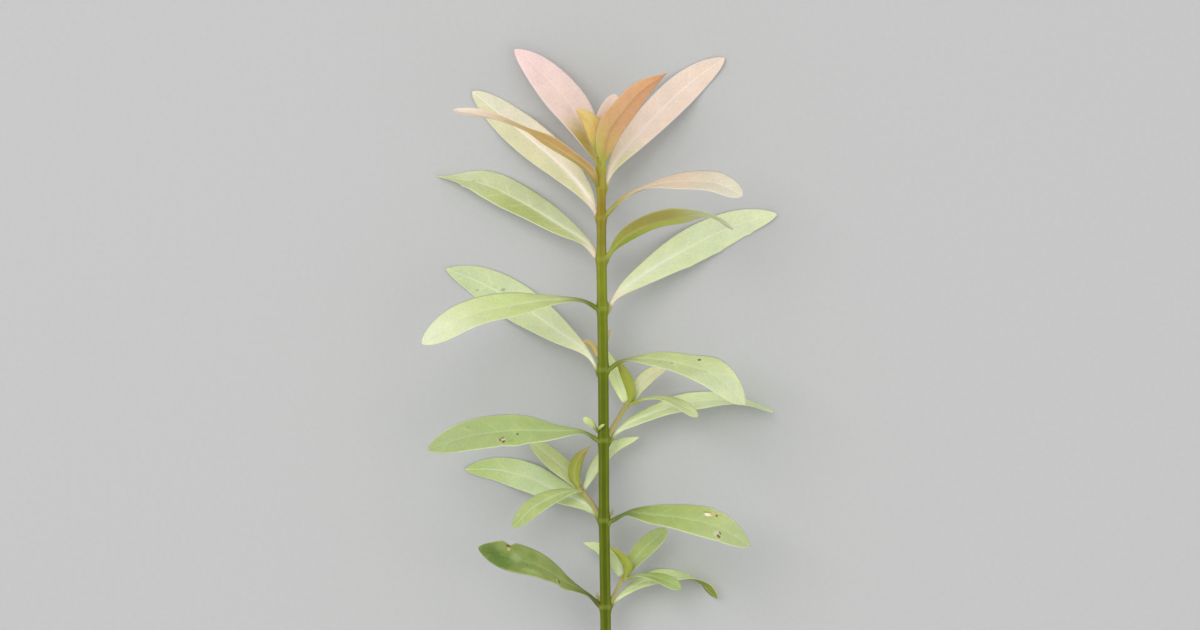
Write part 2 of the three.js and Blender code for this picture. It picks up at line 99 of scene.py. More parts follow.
def linear(hex_colour: str) -> tuple[float, float, float, float]:
    """Turns an sRGB hex colour into linear light.

    Args:
        hex_colour: Six hex digits after a hash.

    Returns:
        Red, green, blue and an alpha of 1.
    """
    parts = [int(hex_colour[start : start + 2], 16) / 255 for start in (1, 3, 5)]
    light = [part / 12.92 if part <= 0.04045 else ((part + 0.055) / 1.055) ** 2.4 for part in parts]
    return (light[0], light[1], light[2], 1.0)


def add_node(
    tree: bpy.types.NodeTree,
    kind: str,
    settings: dict[str, Any] | None = None,
    links: dict[str | int, Any] | None = None,
) -> bpy.types.Node:
    """Adds a node with its settings, and its inputs linked or set.

    Args:
        tree: The node tree that gets it.
        kind: The node's type name.
        settings: Values of the node's own properties.
        links: Per input, a node, a socket or a plain value.

    Returns:
        The new node.
    """
    node = tree.nodes.new(kind)
    for name, value in (settings or {}).items():
        setattr(node, name, value)
    for name, source in (links or {}).items():
        if isinstance(source, bpy.types.Node):
            tree.links.new(source.outputs[0], node.inputs[name])
        elif isinstance(source, bpy.types.NodeSocket):
            tree.links.new(source, node.inputs[name])
        else:
            node.inputs[name].default_value = source
    return node


def add_chain(tree: bpy.types.NodeTree, values: Values, rows: tuple[tuple[Any, ...], ...]) -> None:
    """Adds nodes in order, each under a name by which the later ones take it up.

    Args:
        tree: The node tree that gets them.
        values: The nodes and sockets so far by name, to which the new ones are added.
        rows: Per node its name, its step and its inputs in order. A text is the name of a value.
            A range takes the value, where it starts and ends, and what it gives at each.
    """
    for name, step, *inputs in rows:
        kind, settings = step.value
        sources = [values[source] if isinstance(source, str) else source for source in inputs]
        values[name] = add_node(tree, kind, settings, dict(enumerate(sources)))


def mix_ramps(
    tree: bpy.types.NodeTree, values: Values, mask: str, *ramps: tuple[tuple[float, str], ...]
) -> bpy.types.NodeSocket:
    """Mixes two runs of colours along a piece.

    Args:
        tree: The material's tree.
        values: What the material reads and its masks.
        mask: The name of the mask that the second run is seen through.
        ramps: Per run the place and the hex colour of each stop, in order.

    Returns:
        The mixed colour.
    """
    inputs = {0: values[mask]}
    for order, stops in enumerate(ramps):
        node = add_node(tree, "ShaderNodeValToRGB", None, {0: values["along_share"]})
        inputs[6 + order] = node
        ramp = node.color_ramp
        ramp.interpolation = "EASE"
        while len(ramp.elements) < len(stops):
            ramp.elements.new(1.0)
        for element, (place, colour) in zip(ramp.elements, stops):
            element.position = place
            element.color = linear(colour)
    return add_node(tree, "ShaderNodeMix", COLOURS, inputs).outputs[2]


def new_material(name: str, *attributes: str) -> tuple[bpy.types.Material, Values]:
    """Starts a material whose tree holds only what it reads of the surface.

    Args:
        name: The material's name.
        attributes: The stored values that it reads.

    Returns:
        The material, and what it reads by name, "place" being the object coordinates.
    """
    material = bpy.data.materials.new(name)
    material.use_nodes = True
    tree = material.node_tree
    tree.nodes.clear()
    values = {"place": add_node(tree, "ShaderNodeTexCoord").outputs["Object"]}
    for attribute in attributes:
        reader = add_node(tree, "ShaderNodeAttribute", {"attribute_name": attribute})
        values[attribute] = reader.outputs["Fac"]
    return material, values


def lay_colours(
    tree: bpy.types.NodeTree, colour: bpy.types.Node | bpy.types.NodeSocket, layers: list[tuple[Any, str]]
) -> bpy.types.Node | bpy.types.NodeSocket:
    """Lays flat colours over what is there, one after the other.

    Args:
        tree: The material's tree.
        colour: The colour so far.
        layers: Per layer the mask that it is seen through and its hex colour.

    Returns:
        The colour with the layers on it.
    """
    for mask, tint in layers:
        mixed = add_node(tree, "ShaderNodeMix", COLOURS, {0: mask, 6: colour, 7: linear(tint)})
        colour = mixed.outputs[2]
    return colour


def add_skin(tree: bpy.types.NodeTree, inputs: Values) -> None:
    """Adds the shader of living tissue under a thin waxy skin, and the material's output.

    Args:
        tree: The material's tree.
        inputs: What the shader gets besides what all such tissue shares.
    """
    shared = {"IOR": 1.42, "Subsurface Radius": (0.7, 0.9, 0.35)}
    settings = {"subsurface_method": "RANDOM_WALK"}
    shader = add_node(tree, "ShaderNodeBsdfPrincipled", settings, {**shared, **inputs})
    add_node(tree, "ShaderNodeOutputMaterial", None, {"Surface": shader})


def cubic(start: Any, end: Any, leave: Any, arrive: Any, share: float) -> Any:
    """The value at a share of a span that is left and arrived at with the given slopes."""
    square = -3 * start + 3 * end - 2 * leave - arrive
    cube = 2 * start - 2 * end + leave + arrive
    return start + leave * share + square * share**2 + cube * share**3


class Path:
    """A smooth curve through points, followed by shares of its length."""

    STEPS = 200
    HEADING_STEP = 1e-4

    def __init__(self, points: tuple[Point, ...]) -> None:
        """Measures the curve.

        Args:
            points: The points that it passes through.
        """
        inner = [Vector(point) for point in points]
        self.spans = len(inner) - 1
        self.knots = [2 * inner[0] - inner[1], *inner, 2 * inner[-1] - inner[-2]]
        self.parameters = [step / self.STEPS for step in range(self.STEPS + 1)]
        places = [self.at_parameter(parameter) for parameter in self.parameters]
        steps = [(after - before).length for before, after in zip(places, places[1:])]
        self.lengths = np.concatenate([[0.0], np.cumsum(steps)])

    @property
    def length(self) -> float:
        """The curve's whole length."""
        return float(self.lengths[-1])

    def at_parameter(self, parameter: float) -> Vector:
        """Gives a place on the curve.

        Each span counts by the square root of its length, which keeps the curve from overshooting.

        Args:
            parameter: 0 at the first point and 1 at the last, even from point to point.

        Returns:
            The place.
        """
        along = parameter * self.spans
        span = min(int(along), self.spans - 1)
        before, start, end, after = self.knots[span : span + 4]
        gaps = [(b - a).length ** 0.5 for a, b in ((before, start), (start, end), (end, after))]
        middle = (end - start) / gaps[1]
        leave = (start - before) / gaps[0] - (end - before) / (gaps[0] + gaps[1]) + middle
        arrive = middle - (after - start) / (gaps[1] + gaps[2]) + (after - end) / gaps[2]
        return cubic(start, end, leave * gaps[1], arrive * gaps[1], along - span)

    def parameter_of(self, share: float) -> float:
        """The parameter at a share of the length."""
        return float(np.interp(share * self.length, self.lengths, self.parameters))

    def place(self, share: float) -> Vector:
        """The place at a share of the length."""
        return self.at_parameter(self.parameter_of(share))

    def heading(self, share: float) -> Vector:
        """The direction of the curve at a share of the length."""
        parameter = self.parameter_of(share)
        low = max(parameter - self.HEADING_STEP, 0.0)
        high = min(parameter + self.HEADING_STEP, 1.0)
        return (self.at_parameter(high) - self.at_parameter(low)).normalized()


def spline(values: list[float], parameter: float) -> float:
    """Eases through evenly spaced values.

    Args:
        values: The values to pass through.
        parameter: 0 at the first and 1 at the last.

    Returns:
        The value there.
    """
    last = len(values) - 1
    along = parameter * last
    span = min(int(along), last - 1)
    before = values[max(span - 1, 0)]
    start = values[span]
    end = values[span + 1]
    after = values[min(span + 2, last)]
    return cubic(start, end, (end - before) / 2, (after - start) / 2, along - span)


def smoothstep(value: float, low: float, high: float) -> float:
    """Eases from 0 at low to 1 at high."""
    share = min(max((value - low) / (high - low), 0.0), 1.0)
    return share * share * (3 - 2 * share)


def columns(rows: list[Values]) -> dict[str, np.ndarray]:
    """Turns what each ring holds into one array per name."""
    return {name: np.array([row[name] for row in rows]) for name in rows[0]}


@dataclass(frozen=True)
class Mark:
    """A dead or dark spot on a leaf.

    It has its place along the midrib and to the side, its radius, its colour and how far that
    covers, how much longer than wide it is, how soft its edge is as a share of the radius, and
    the angle in degrees that it is turned by.
    """

    along: float
    side: float
    radius: float
    colour: str = "#5a3a1c"
    strength: float = 0.9
    stretch: float = 1.0
    softness: float = 0.5
    turn: float = 0.0


@dataclass(frozen=True)
class Bite:
    """A change of a leaf's margin: its place along the midrib, its depth inwards, its spread and
    the half of the blade that it is on, 1 or -1."""

    along: float
    depth: float
    spread: float
    side: int


@dataclass(frozen=True)
class LeafFinish:
    """Leaf blade under a thin waxy skin: soft satin gloss, a pale midrib and veins, a pale rim that is
    partly painted light.

    The colours run from the base of the blade to its tip, and differ above and below. The half
    towards the stem's tip and the half towards its cut end may differ as well, on some leaves by their
    own colour and on others by painted shade.
    """

    name: str
    upper: tuple[str, str, str]
    under: tuple[str, str, str]
    foot: str
    midrib: str
    foot_reach: float = 3.0
    midrib_strength: float = 0.75
    rim: str = "#eef2d6"
    rim_strength: float = 0.7
    yellowing: float = 0.3
    streaks: float = 0.6
    root: str = "#7c883a"
    half: str = "#a8b84c"
    half_strength: float = 0.0
    half_start: float = 0.0
    half_reach: float = 1.0
    half_side: int = 1
    veins: float = 0.22
    mottle: float = 0.05
    roughness: float = 0.46
    marks: tuple[Mark, ...] = ()

    # Where the three colours of a face stand along the blade, and what the streaks and the margin
    # multiply them by: bluer or yellower, and yellower.
    STOPS = (0.05, 0.5, 0.97)
    HUES = (
        ("streak_share", (0.95, 0.99, 1.06), (1.05, 1.02, 0.9)),
        ("near_margin", (1.0, 1.0, 1.0), (1.04, 1.03, 0.78)),
    )

    def make(self) -> bpy.types.Material:
        """Builds the material.

        Returns:
            The material, which reads the attributes that the leaf sweep stores.
        """
        material, values = new_material(
            self.name, "along_share", "along_mm", "side_mm", "edge_share", "margin_mm", "above", "vein_phase"
        )
        tree = material.node_tree
        self.add_patterns(tree, values)
        self.add_masks(tree, values)
        layers = [(values[mask], self.midrib) for mask in ("vein", "band", "rib")]
        layers += [(values["rim"], self.rim), (values["foot"], self.foot), (values["root"], self.root)]
        layers += self.mark_layers(tree, values)
        colour = lay_colours(tree, self.add_blade_colour(tree, values), layers)
        relief = {"Strength": 0.35, "Distance": 0.12 * MM, "Height": values["quilt"]}
        skin = {
            "Base Color": colour,
            "Roughness": values["gloss"],
            "Normal": add_node(tree, "ShaderNodeBump", None, relief),
            "Specular IOR Level": 0.3,
            "Subsurface Weight": 0.12,
            "Subsurface Scale": 0.6 * MM,
        }
        add_skin(tree, skin)
        return material

    def add_patterns(self, tree: bpy.types.NodeTree, values: Values) -> None:
        """Adds the patterns that vary the blade.

        Args:
            tree: The material's tree.
            values: What the material reads, which gets the patterns.
        """
        place = values["place"]
        # Streaks about 6 mm long and 1.5 mm wide. The place on the plant gives each leaf its own.
        spread = {0: place, 1: (40.0, 70.0, 0.0)}
        whereabouts = add_node(tree, "ShaderNodeVectorMath", {"operation": "DOT_PRODUCT"}, spread)
        lengthwise = {0: values["along_mm"], 1: values["side_mm"], 2: whereabouts.outputs["Value"]}
        blade = add_node(tree, "ShaderNodeCombineXYZ", None, lengthwise)
        drawn = add_node(tree, "ShaderNodeMapping", None, {"Vector": blade, "Scale": (0.16, 0.65, 1.0)})
        noises = {
            "streak": {"Vector": drawn, "Scale": 1.0, "Detail": 3.0},
            "cloud": {"Vector": place, "Scale": LEAF_PATCHES, "Detail": 3.0},
            "ragged": {"Vector": place, "Scale": RAGGED_EDGE, "Detail": 2.0},
            "grain": {"Vector": place, "Scale": SKIN_CELLS, "Detail": 2.0},
        }
        for name, inputs in noises.items():
            values[name] = add_node(tree, NOISE, None, inputs)
        cells = {"Vector": place, "Scale": VEIN_CELLS}
        values["cells"] = add_node(tree, "ShaderNodeTexVoronoi", {"feature": "DISTANCE_TO_EDGE"}, cells)

    def add_masks(self, tree: bpy.types.NodeTree, values: Values) -> None:
        """Adds the masks that the colours are seen through, and the gloss and the relief.

        Args:
            tree: The material's tree.
            values: What the material reads and its patterns, which gets the masks.
        """
        rows = (
            ("face", Step.EASE, "above", -0.25, 0.15),
            # One half of the blade is tinted: on some leaves with its own colour, on others with painted
            # shade where the pair above or below shades it.
            ("half_over", Step.EASE, "side_mm", -0.25 * self.half_side, 0.45 * self.half_side, 0.0,
             self.half_strength),
            ("half_end", Step.EASE, "along_share", self.half_reach + 0.12, self.half_reach - 0.18),
            ("half_begin", Step.EASE, "along_share", self.half_start - 0.3, self.half_start),
            ("half_span", Step.MULTIPLY, "half_begin", "half_end"),
            ("half_mask", Step.MULTIPLY, "half_over", "half_span"),
            # Streaks run bluer and yellower, and the blade is yellower within 1.5 mm of its margin.
            ("streak_share", Step.RANGE, "streak", 0.32, 0.68, 0.5 - 0.5 * self.streaks,
             0.5 + 0.5 * self.streaks),
            ("near_margin", Step.EASE, "margin_mm", 1.5, 0.2, 0.0, self.yellowing),
            ("cloud_light", Step.RANGE, "cloud", 0.3, 0.7, 1 - self.mottle, 1 + self.mottle),
            ("cell_light", Step.RANGE, "cells", 0.0, 0.25, 1.05, 0.985),
            ("light", Step.MULTIPLY, "cloud_light", "cell_light"),
            # Lateral veins leave the midrib in pairs, some plainer than others, and fade before the rim.
            ("to_vein", Step.PINGPONG, "vein_phase", 0.5),
            ("vein_strength", Step.RANGE, "streak", 0.35, 0.65, 0.1 * self.veins, self.veins),
            ("lateral", Step.EASE, "to_vein", 0.12, 0.02, 0.0, "vein_strength"),
            ("fade", Step.EASE, "edge_share", 0.98, 0.55),
            ("vein", Step.MULTIPLY, "lateral", "fade"),
            # The midrib narrows from 0.9 mm across at the base to a thread at the tip, in a paler
            # band about 2 mm across that fades out two thirds of the way along.
            ("off_midrib", Step.ABSOLUTE, "side_mm"),
            ("band_side", Step.EASE, "off_midrib", 1.2, 0.2, 0.0, 0.55 * self.midrib_strength),
            ("band_end", Step.EASE, "along_share", 0.75, 0.15),
            ("band", Step.MULTIPLY, "band_side", "band_end"),
            ("rib_half", Step.RANGE, "along_share", 0.0, 0.95, 0.46, 0.1),
            ("off_share", Step.DIVIDE, "off_midrib", "rib_half"),
            ("rib", Step.EASE, "off_share", 1.2, 0.5, 0.0, self.midrib_strength),
            # A pale rim 0.4 mm wide, less where the blade is narrow and hardly any on the stalk. It is partly
            # the margin's own paler tissue and partly painted light that lifts the shade along the blade's
            # edge.
            ("reach", Step.ADD, "margin_mm", "off_midrib"),
            ("reach_part", Step.MULTIPLY, "reach", 0.12),
            ("rim_width", Step.MINIMUM, "reach_part", 0.4),
            ("rim_place", Step.DIVIDE, "margin_mm", "rim_width"),
            ("rim", Step.EASE, "rim_place", 1.0, 0.3, 0.0, self.rim_strength),
            ("foot", Step.EASE, "along_mm", self.foot_reach, self.foot_reach * 0.2),
            ("root", Step.EASE, "along_mm", 1.3, 0.1),
            # The skin's cells break up the gloss, and the veins and patches stand a little proud.
            ("gloss", Step.RANGE, "cloud", 0.3, 0.7, self.roughness - 0.06, self.roughness + 0.06),
            ("relief", Step.MULTIPLY_ADD, "grain", 0.25, "vein"),
            ("quilt", Step.MULTIPLY_ADD, "cloud", 0.8, "relief"),
        )
        add_chain(tree, values, rows)

    def add_blade_colour(self, tree: bpy.types.NodeTree, values: Values) -> bpy.types.Node:
        """Adds the blade's own colour, without veins, rim or spots.

        Args:
            tree: The material's tree.
            values: What the material reads, its patterns and its masks.

        Returns:
            The node that gives the colour.
        """
        faces = [tuple(zip(self.STOPS, colours)) for colours in (self.under, self.upper)]
        both = mix_ramps(tree, values, "face", *faces)
        values["tissue"] = lay_colours(tree, both, [(values["half_mask"], self.half)])
        for mask, start, end in self.HUES:
            inputs = {0: values[mask], 4: start, 5: end}
            hue = add_node(tree, "ShaderNodeMix", {"data_type": "VECTOR"}, inputs)
            add_chain(tree, values, (("tissue", Step.VECTOR_MULTIPLY, "tissue", hue.outputs[1]),))
        add_chain(tree, values, (("tissue", Step.VECTOR_MULTIPLY, "tissue", "light"),))
        return values["tissue"]

    def mark_layers(self, tree: bpy.types.NodeTree, values: Values) -> list[tuple[Any, str]]:
        """Adds a ragged mask for each dead spot.

        Args:
            tree: The material's tree.
            values: What the material reads and its patterns.

        Returns:
            Per spot its mask and its colour.
        """
        layers = []
        # A spot's edge wanders in and out by up to 0.45 of its radius.
        rows = (
            ("wobble", Step.MULTIPLY_ADD, "ragged", 0.9, -0.45),
            ("here", Step.COMBINE, "along_mm", "side_mm"),
        )
        add_chain(tree, values, rows)
        for mark in self.marks:
            stretched = {
                "Vector": values["here"],
                "Location": (mark.along, mark.side, 0),
                "Rotation": (0, 0, math.radians(mark.turn)),
                "Scale": (mark.stretch, 1, 1),
            }
            centred = add_node(tree, "ShaderNodeMapping", {"vector_type": "TEXTURE"}, stretched)
            away = add_node(tree, "ShaderNodeVectorMath", {"operation": "LENGTH"}, {0: centred})
            outside = mark.radius * 1.15
            inside = mark.radius * (1.15 - mark.softness)
            rows = (
                ("away", Step.MULTIPLY_ADD, "wobble", mark.radius, away.outputs["Value"]),
                ("spot", Step.EASE, "away", outside, inside, 0.0, mark.strength),
            )
            add_chain(tree, values, rows)
            layers.append((values["spot"], mark.colour))
        return layers


@dataclass(frozen=True)
class StemTissue:
    """Living stem under a thin waxy skin: a dark groove down each of the four faces, which is painted
    shade of the shallow groove, paler ridges between them, and a pale ring at each leaf joint."""

    name: str
    groove: tuple[tuple[float, str], ...]
    ridge: tuple[tuple[float, str], ...]
    ring: str = "#98a04e"
    ring_strength: float = 0.3
    cut: str = "#c4cc8e"
    roughness: float = 0.42

    def make(self) -> bpy.types.Material:
        """Builds the material.

        Returns:
            The material, which reads the attributes that the rod sweep stores.
        """
        material, values = new_material(self.name, "along_share", "face", "joint", "cut")
        tree = material.node_tree
        place = values["place"]
        # Fibres about 0.2 mm apart run along the stem.
        stretched = {"Vector": place, "Scale": (5000.0, 250.0, 5000.0)}
        drawn = add_node(tree, "ShaderNodeMapping", None, stretched)
        patches = {"Vector": place, "Scale": STEM_PATCHES, "Detail": 3.0}
        values["fibre"] = add_node(tree, NOISE, None, {"Vector": drawn, "Scale": 1.0, "Detail": 2.0})
        values["cloud"] = add_node(tree, NOISE, None, patches)
        rows = (
            # Painted shade: the middle of each face, where the groove runs, takes the darker run of colours.
            ("wander", Step.MULTIPLY_ADD, "fibre", 0.5, "face"),
            ("in_groove", Step.EASE, "wander", 0.0, 0.75),
            ("fibre_light", Step.RANGE, "fibre", 0.3, 0.7, 0.92, 1.08),
            ("cloud_light", Step.RANGE, "cloud", 0.3, 0.7, 0.93, 1.07),
            ("light", Step.MULTIPLY, "fibre_light", "cloud_light"),
            ("ring", Step.EASE, "joint", 0.15, 0.95, 0.0, self.ring_strength),
        )
        add_chain(tree, values, rows)
        both = mix_ramps(tree, values, "in_groove", self.ridge, self.groove)
        add_chain(tree, values, (("tissue", Step.VECTOR_MULTIPLY, both, "light"),))
        layers = [(values["ring"], self.ring), (values["cut"], self.cut)]
        relief = {"Strength": 0.3, "Distance": 0.1 * MM, "Height": values["fibre"]}
        skin = {
            "Base Color": lay_colours(tree, values["tissue"], layers),
            "Roughness": self.roughness,
            "Normal": add_node(tree, "ShaderNodeBump", None, relief),
            "Specular IOR Level": 0.13,
            "Subsurface Weight": 0.06,
            "Subsurface Scale": 0.8 * MM,
        }
        add_skin(tree, skin)
        return material


class Sweep:
    """A Geometry Nodes tree that turns a line with sizes stored at its points into a closed solid.

    SIZES are the tree's inputs, NUMBERS and VECTORS what it reads at each point, and KEPT what of
    that the finished mesh still holds for its material. SWELLINGS are how many low bumps a grown
    surface has per metre, and points closer than DOUBLED are merged.
    """

    SIZES: tuple[tuple[str, str, Any], ...] = ()
    NUMBERS: tuple[str, ...] = ()
    VECTORS = ("rail", "across", "upper")
    KEPT: tuple[str, ...] = ()
    SWELLINGS = 300.0
    DOUBLED = 0.002 * MM

    def __init__(self, name: str) -> None:
        """Builds the tree.

        Args:
            name: The tree's name.
        """
        self.tree = bpy.data.node_groups.new(name, "GeometryNodeTree")
        face = self.tree.interface
        face.new_socket(name="Line", in_out="INPUT", socket_type="NodeSocketGeometry")
        for socket_name, socket_type, value in self.SIZES:
            socket = face.new_socket(name=socket_name, in_out="INPUT", socket_type=socket_type)
            socket.default_value = value
        face.new_socket(name="Finish", in_out="INPUT", socket_type="NodeSocketMaterial")
        face.new_socket(name="Solid", in_out="OUTPUT", socket_type="NodeSocketGeometry")
        self.given = add_node(self.tree, "NodeGroupInput").outputs
        self.values: Values = {size[0]: self.given[size[0]] for size in self.SIZES}
        reader = "GeometryNodeInputNamedAttribute"
        for names, data_type in ((self.NUMBERS, "FLOAT"), (self.VECTORS, "FLOAT_VECTOR")):
            for stored in names:
                settings = {"data_type": data_type}
                self.values[stored] = add_node(self.tree, reader, settings, {"Name": stored})
        self.connect()

    def connect(self) -> None:
        """Adds the nodes between the inputs and the output."""
        raise NotImplementedError

    def uneven(self, place: str) -> bpy.types.Node:
        """Adds the slow unevenness of a grown surface.

        Args:
            place: The name of the value that holds the place.

        Returns:
            The node that gives it, from 0 to 1.
        """
        inputs = {
            "Vector": self.values[place],
            "W": self.given["Seed"],
            "Scale": self.SWELLINGS,
            "Detail": 1.0,
        }
        return add_node(self.tree, NOISE, {"noise_dimensions": "4D"}, inputs)

    def finish(self, place: str, kept: dict[str, str]) -> None:
        """Carries a ring of points along the line, places them and closes the tree.

        Args:
            place: The name of the value that holds each point's place.
            kept: Per attribute that the material reads, the name of the value that gives it.
        """
        tree = self.tree
        line = add_node(tree, "GeometryNodeMeshToCurve", None, {0: self.given["Line"]})
        ring = add_node(tree, "GeometryNodeCurvePrimitiveCircle", None, {"Resolution": self.given["Sides"]})
        index = add_node(tree, "GeometryNodeInputIndex")
        turn = add_node(tree, "ShaderNodeMath", {"operation": "DIVIDE"}, {0: index, 1: self.given["Sides"]})
        store = "GeometryNodeStoreNamedAttribute"
        at_points = {"data_type": "FLOAT", "domain": "POINT"}
        marked = add_node(tree, store, at_points, {"Geometry": ring, "Name": "turn", "Value": turn})
        swept = {"Curve": line, "Profile Curve": marked, "Fill Caps": True}
        tube = add_node(tree, "GeometryNodeCurveToMesh", None, swept)
        placed = {"Geometry": tube, "Position": self.values[place]}
        solid = add_node(tree, "GeometryNodeSetPosition", None, placed)
        for attribute, value in kept.items():
            stored = {"Geometry": solid, "Name": attribute, "Value": self.values[value]}
            solid = add_node(tree, store, at_points, stored)
        real = add_node(tree, "GeometryNodeRealizeInstances", None, {"Geometry": solid})
        clothed = {"Geometry": real, "Material": self.given["Finish"]}
        dressed = add_node(tree, "GeometryNodeSetMaterial", None, clothed)
        add_node(tree, "NodeGroupOutput", None, {0: dressed})

    def grow(self, name: str, line: dict[str, np.ndarray], sizes: Values) -> bpy.types.Object:
        """Sweeps one piece and keeps its plain mesh.

        Args:
            name: The piece's name.
            line: The values at the line's points, "rail" being the points themselves.
            sizes: The tree's inputs by name, the finish among them.

        Returns:
            The piece, with no modifier left.
        """
        mesh = bpy.data.meshes.new(name)
        rail = line["rail"]
        mesh.from_pydata(rail.tolist(), [(start, start + 1) for start in range(len(rail) - 1)], [])
        for attribute, values in line.items():
            vector = values.ndim == 2
            layer = mesh.attributes.new(attribute, "FLOAT_VECTOR" if vector else "FLOAT", "POINT")
            layer.data.foreach_set("vector" if vector else "value", values.astype(np.float32).ravel())
        piece = bpy.data.objects.new(name, mesh)
        bpy.context.scene.collection.objects.link(piece)
        modifier = piece.modifiers.new("Sweep", "NODES")
        modifier.node_group = self.tree
        for item in self.tree.interface.items_tree:
            if item.in_out == "INPUT" and item.name in sizes:
                modifier[item.identifier] = sizes[item.name]
        bpy.context.view_layer.update()
        evaluated = piece.evaluated_get(bpy.context.evaluated_depsgraph_get())
        solid = bpy.data.meshes.new_from_object(evaluated)
        piece.modifiers.clear()
        piece.data = solid
        solid.name = name
        for attribute in [layer.name for layer in solid.attributes]:
            if attribute == "turn" or attribute in line and attribute not in self.KEPT:
                solid.attributes.remove(solid.attributes[attribute])
        self.turn_outwards(solid)
        return piece

    def turn_outwards(self, mesh: bpy.types.Mesh) -> None:
        """Merges doubled points, turns the faces outwards and shades them smooth.

        Args:
            mesh: A closed mesh.
        """
        shape = bmesh.new()
        shape.from_mesh(mesh)
        bmesh.ops.remove_doubles(shape, verts=shape.verts, dist=self.DOUBLED)
        if shape.calc_volume(signed=True) < 0:
            bmesh.ops.reverse_faces(shape, faces=shape.faces)
        for face in shape.faces:
            face.smooth = True
        shape.to_mesh(mesh)
        shape.free()
        mesh.update()


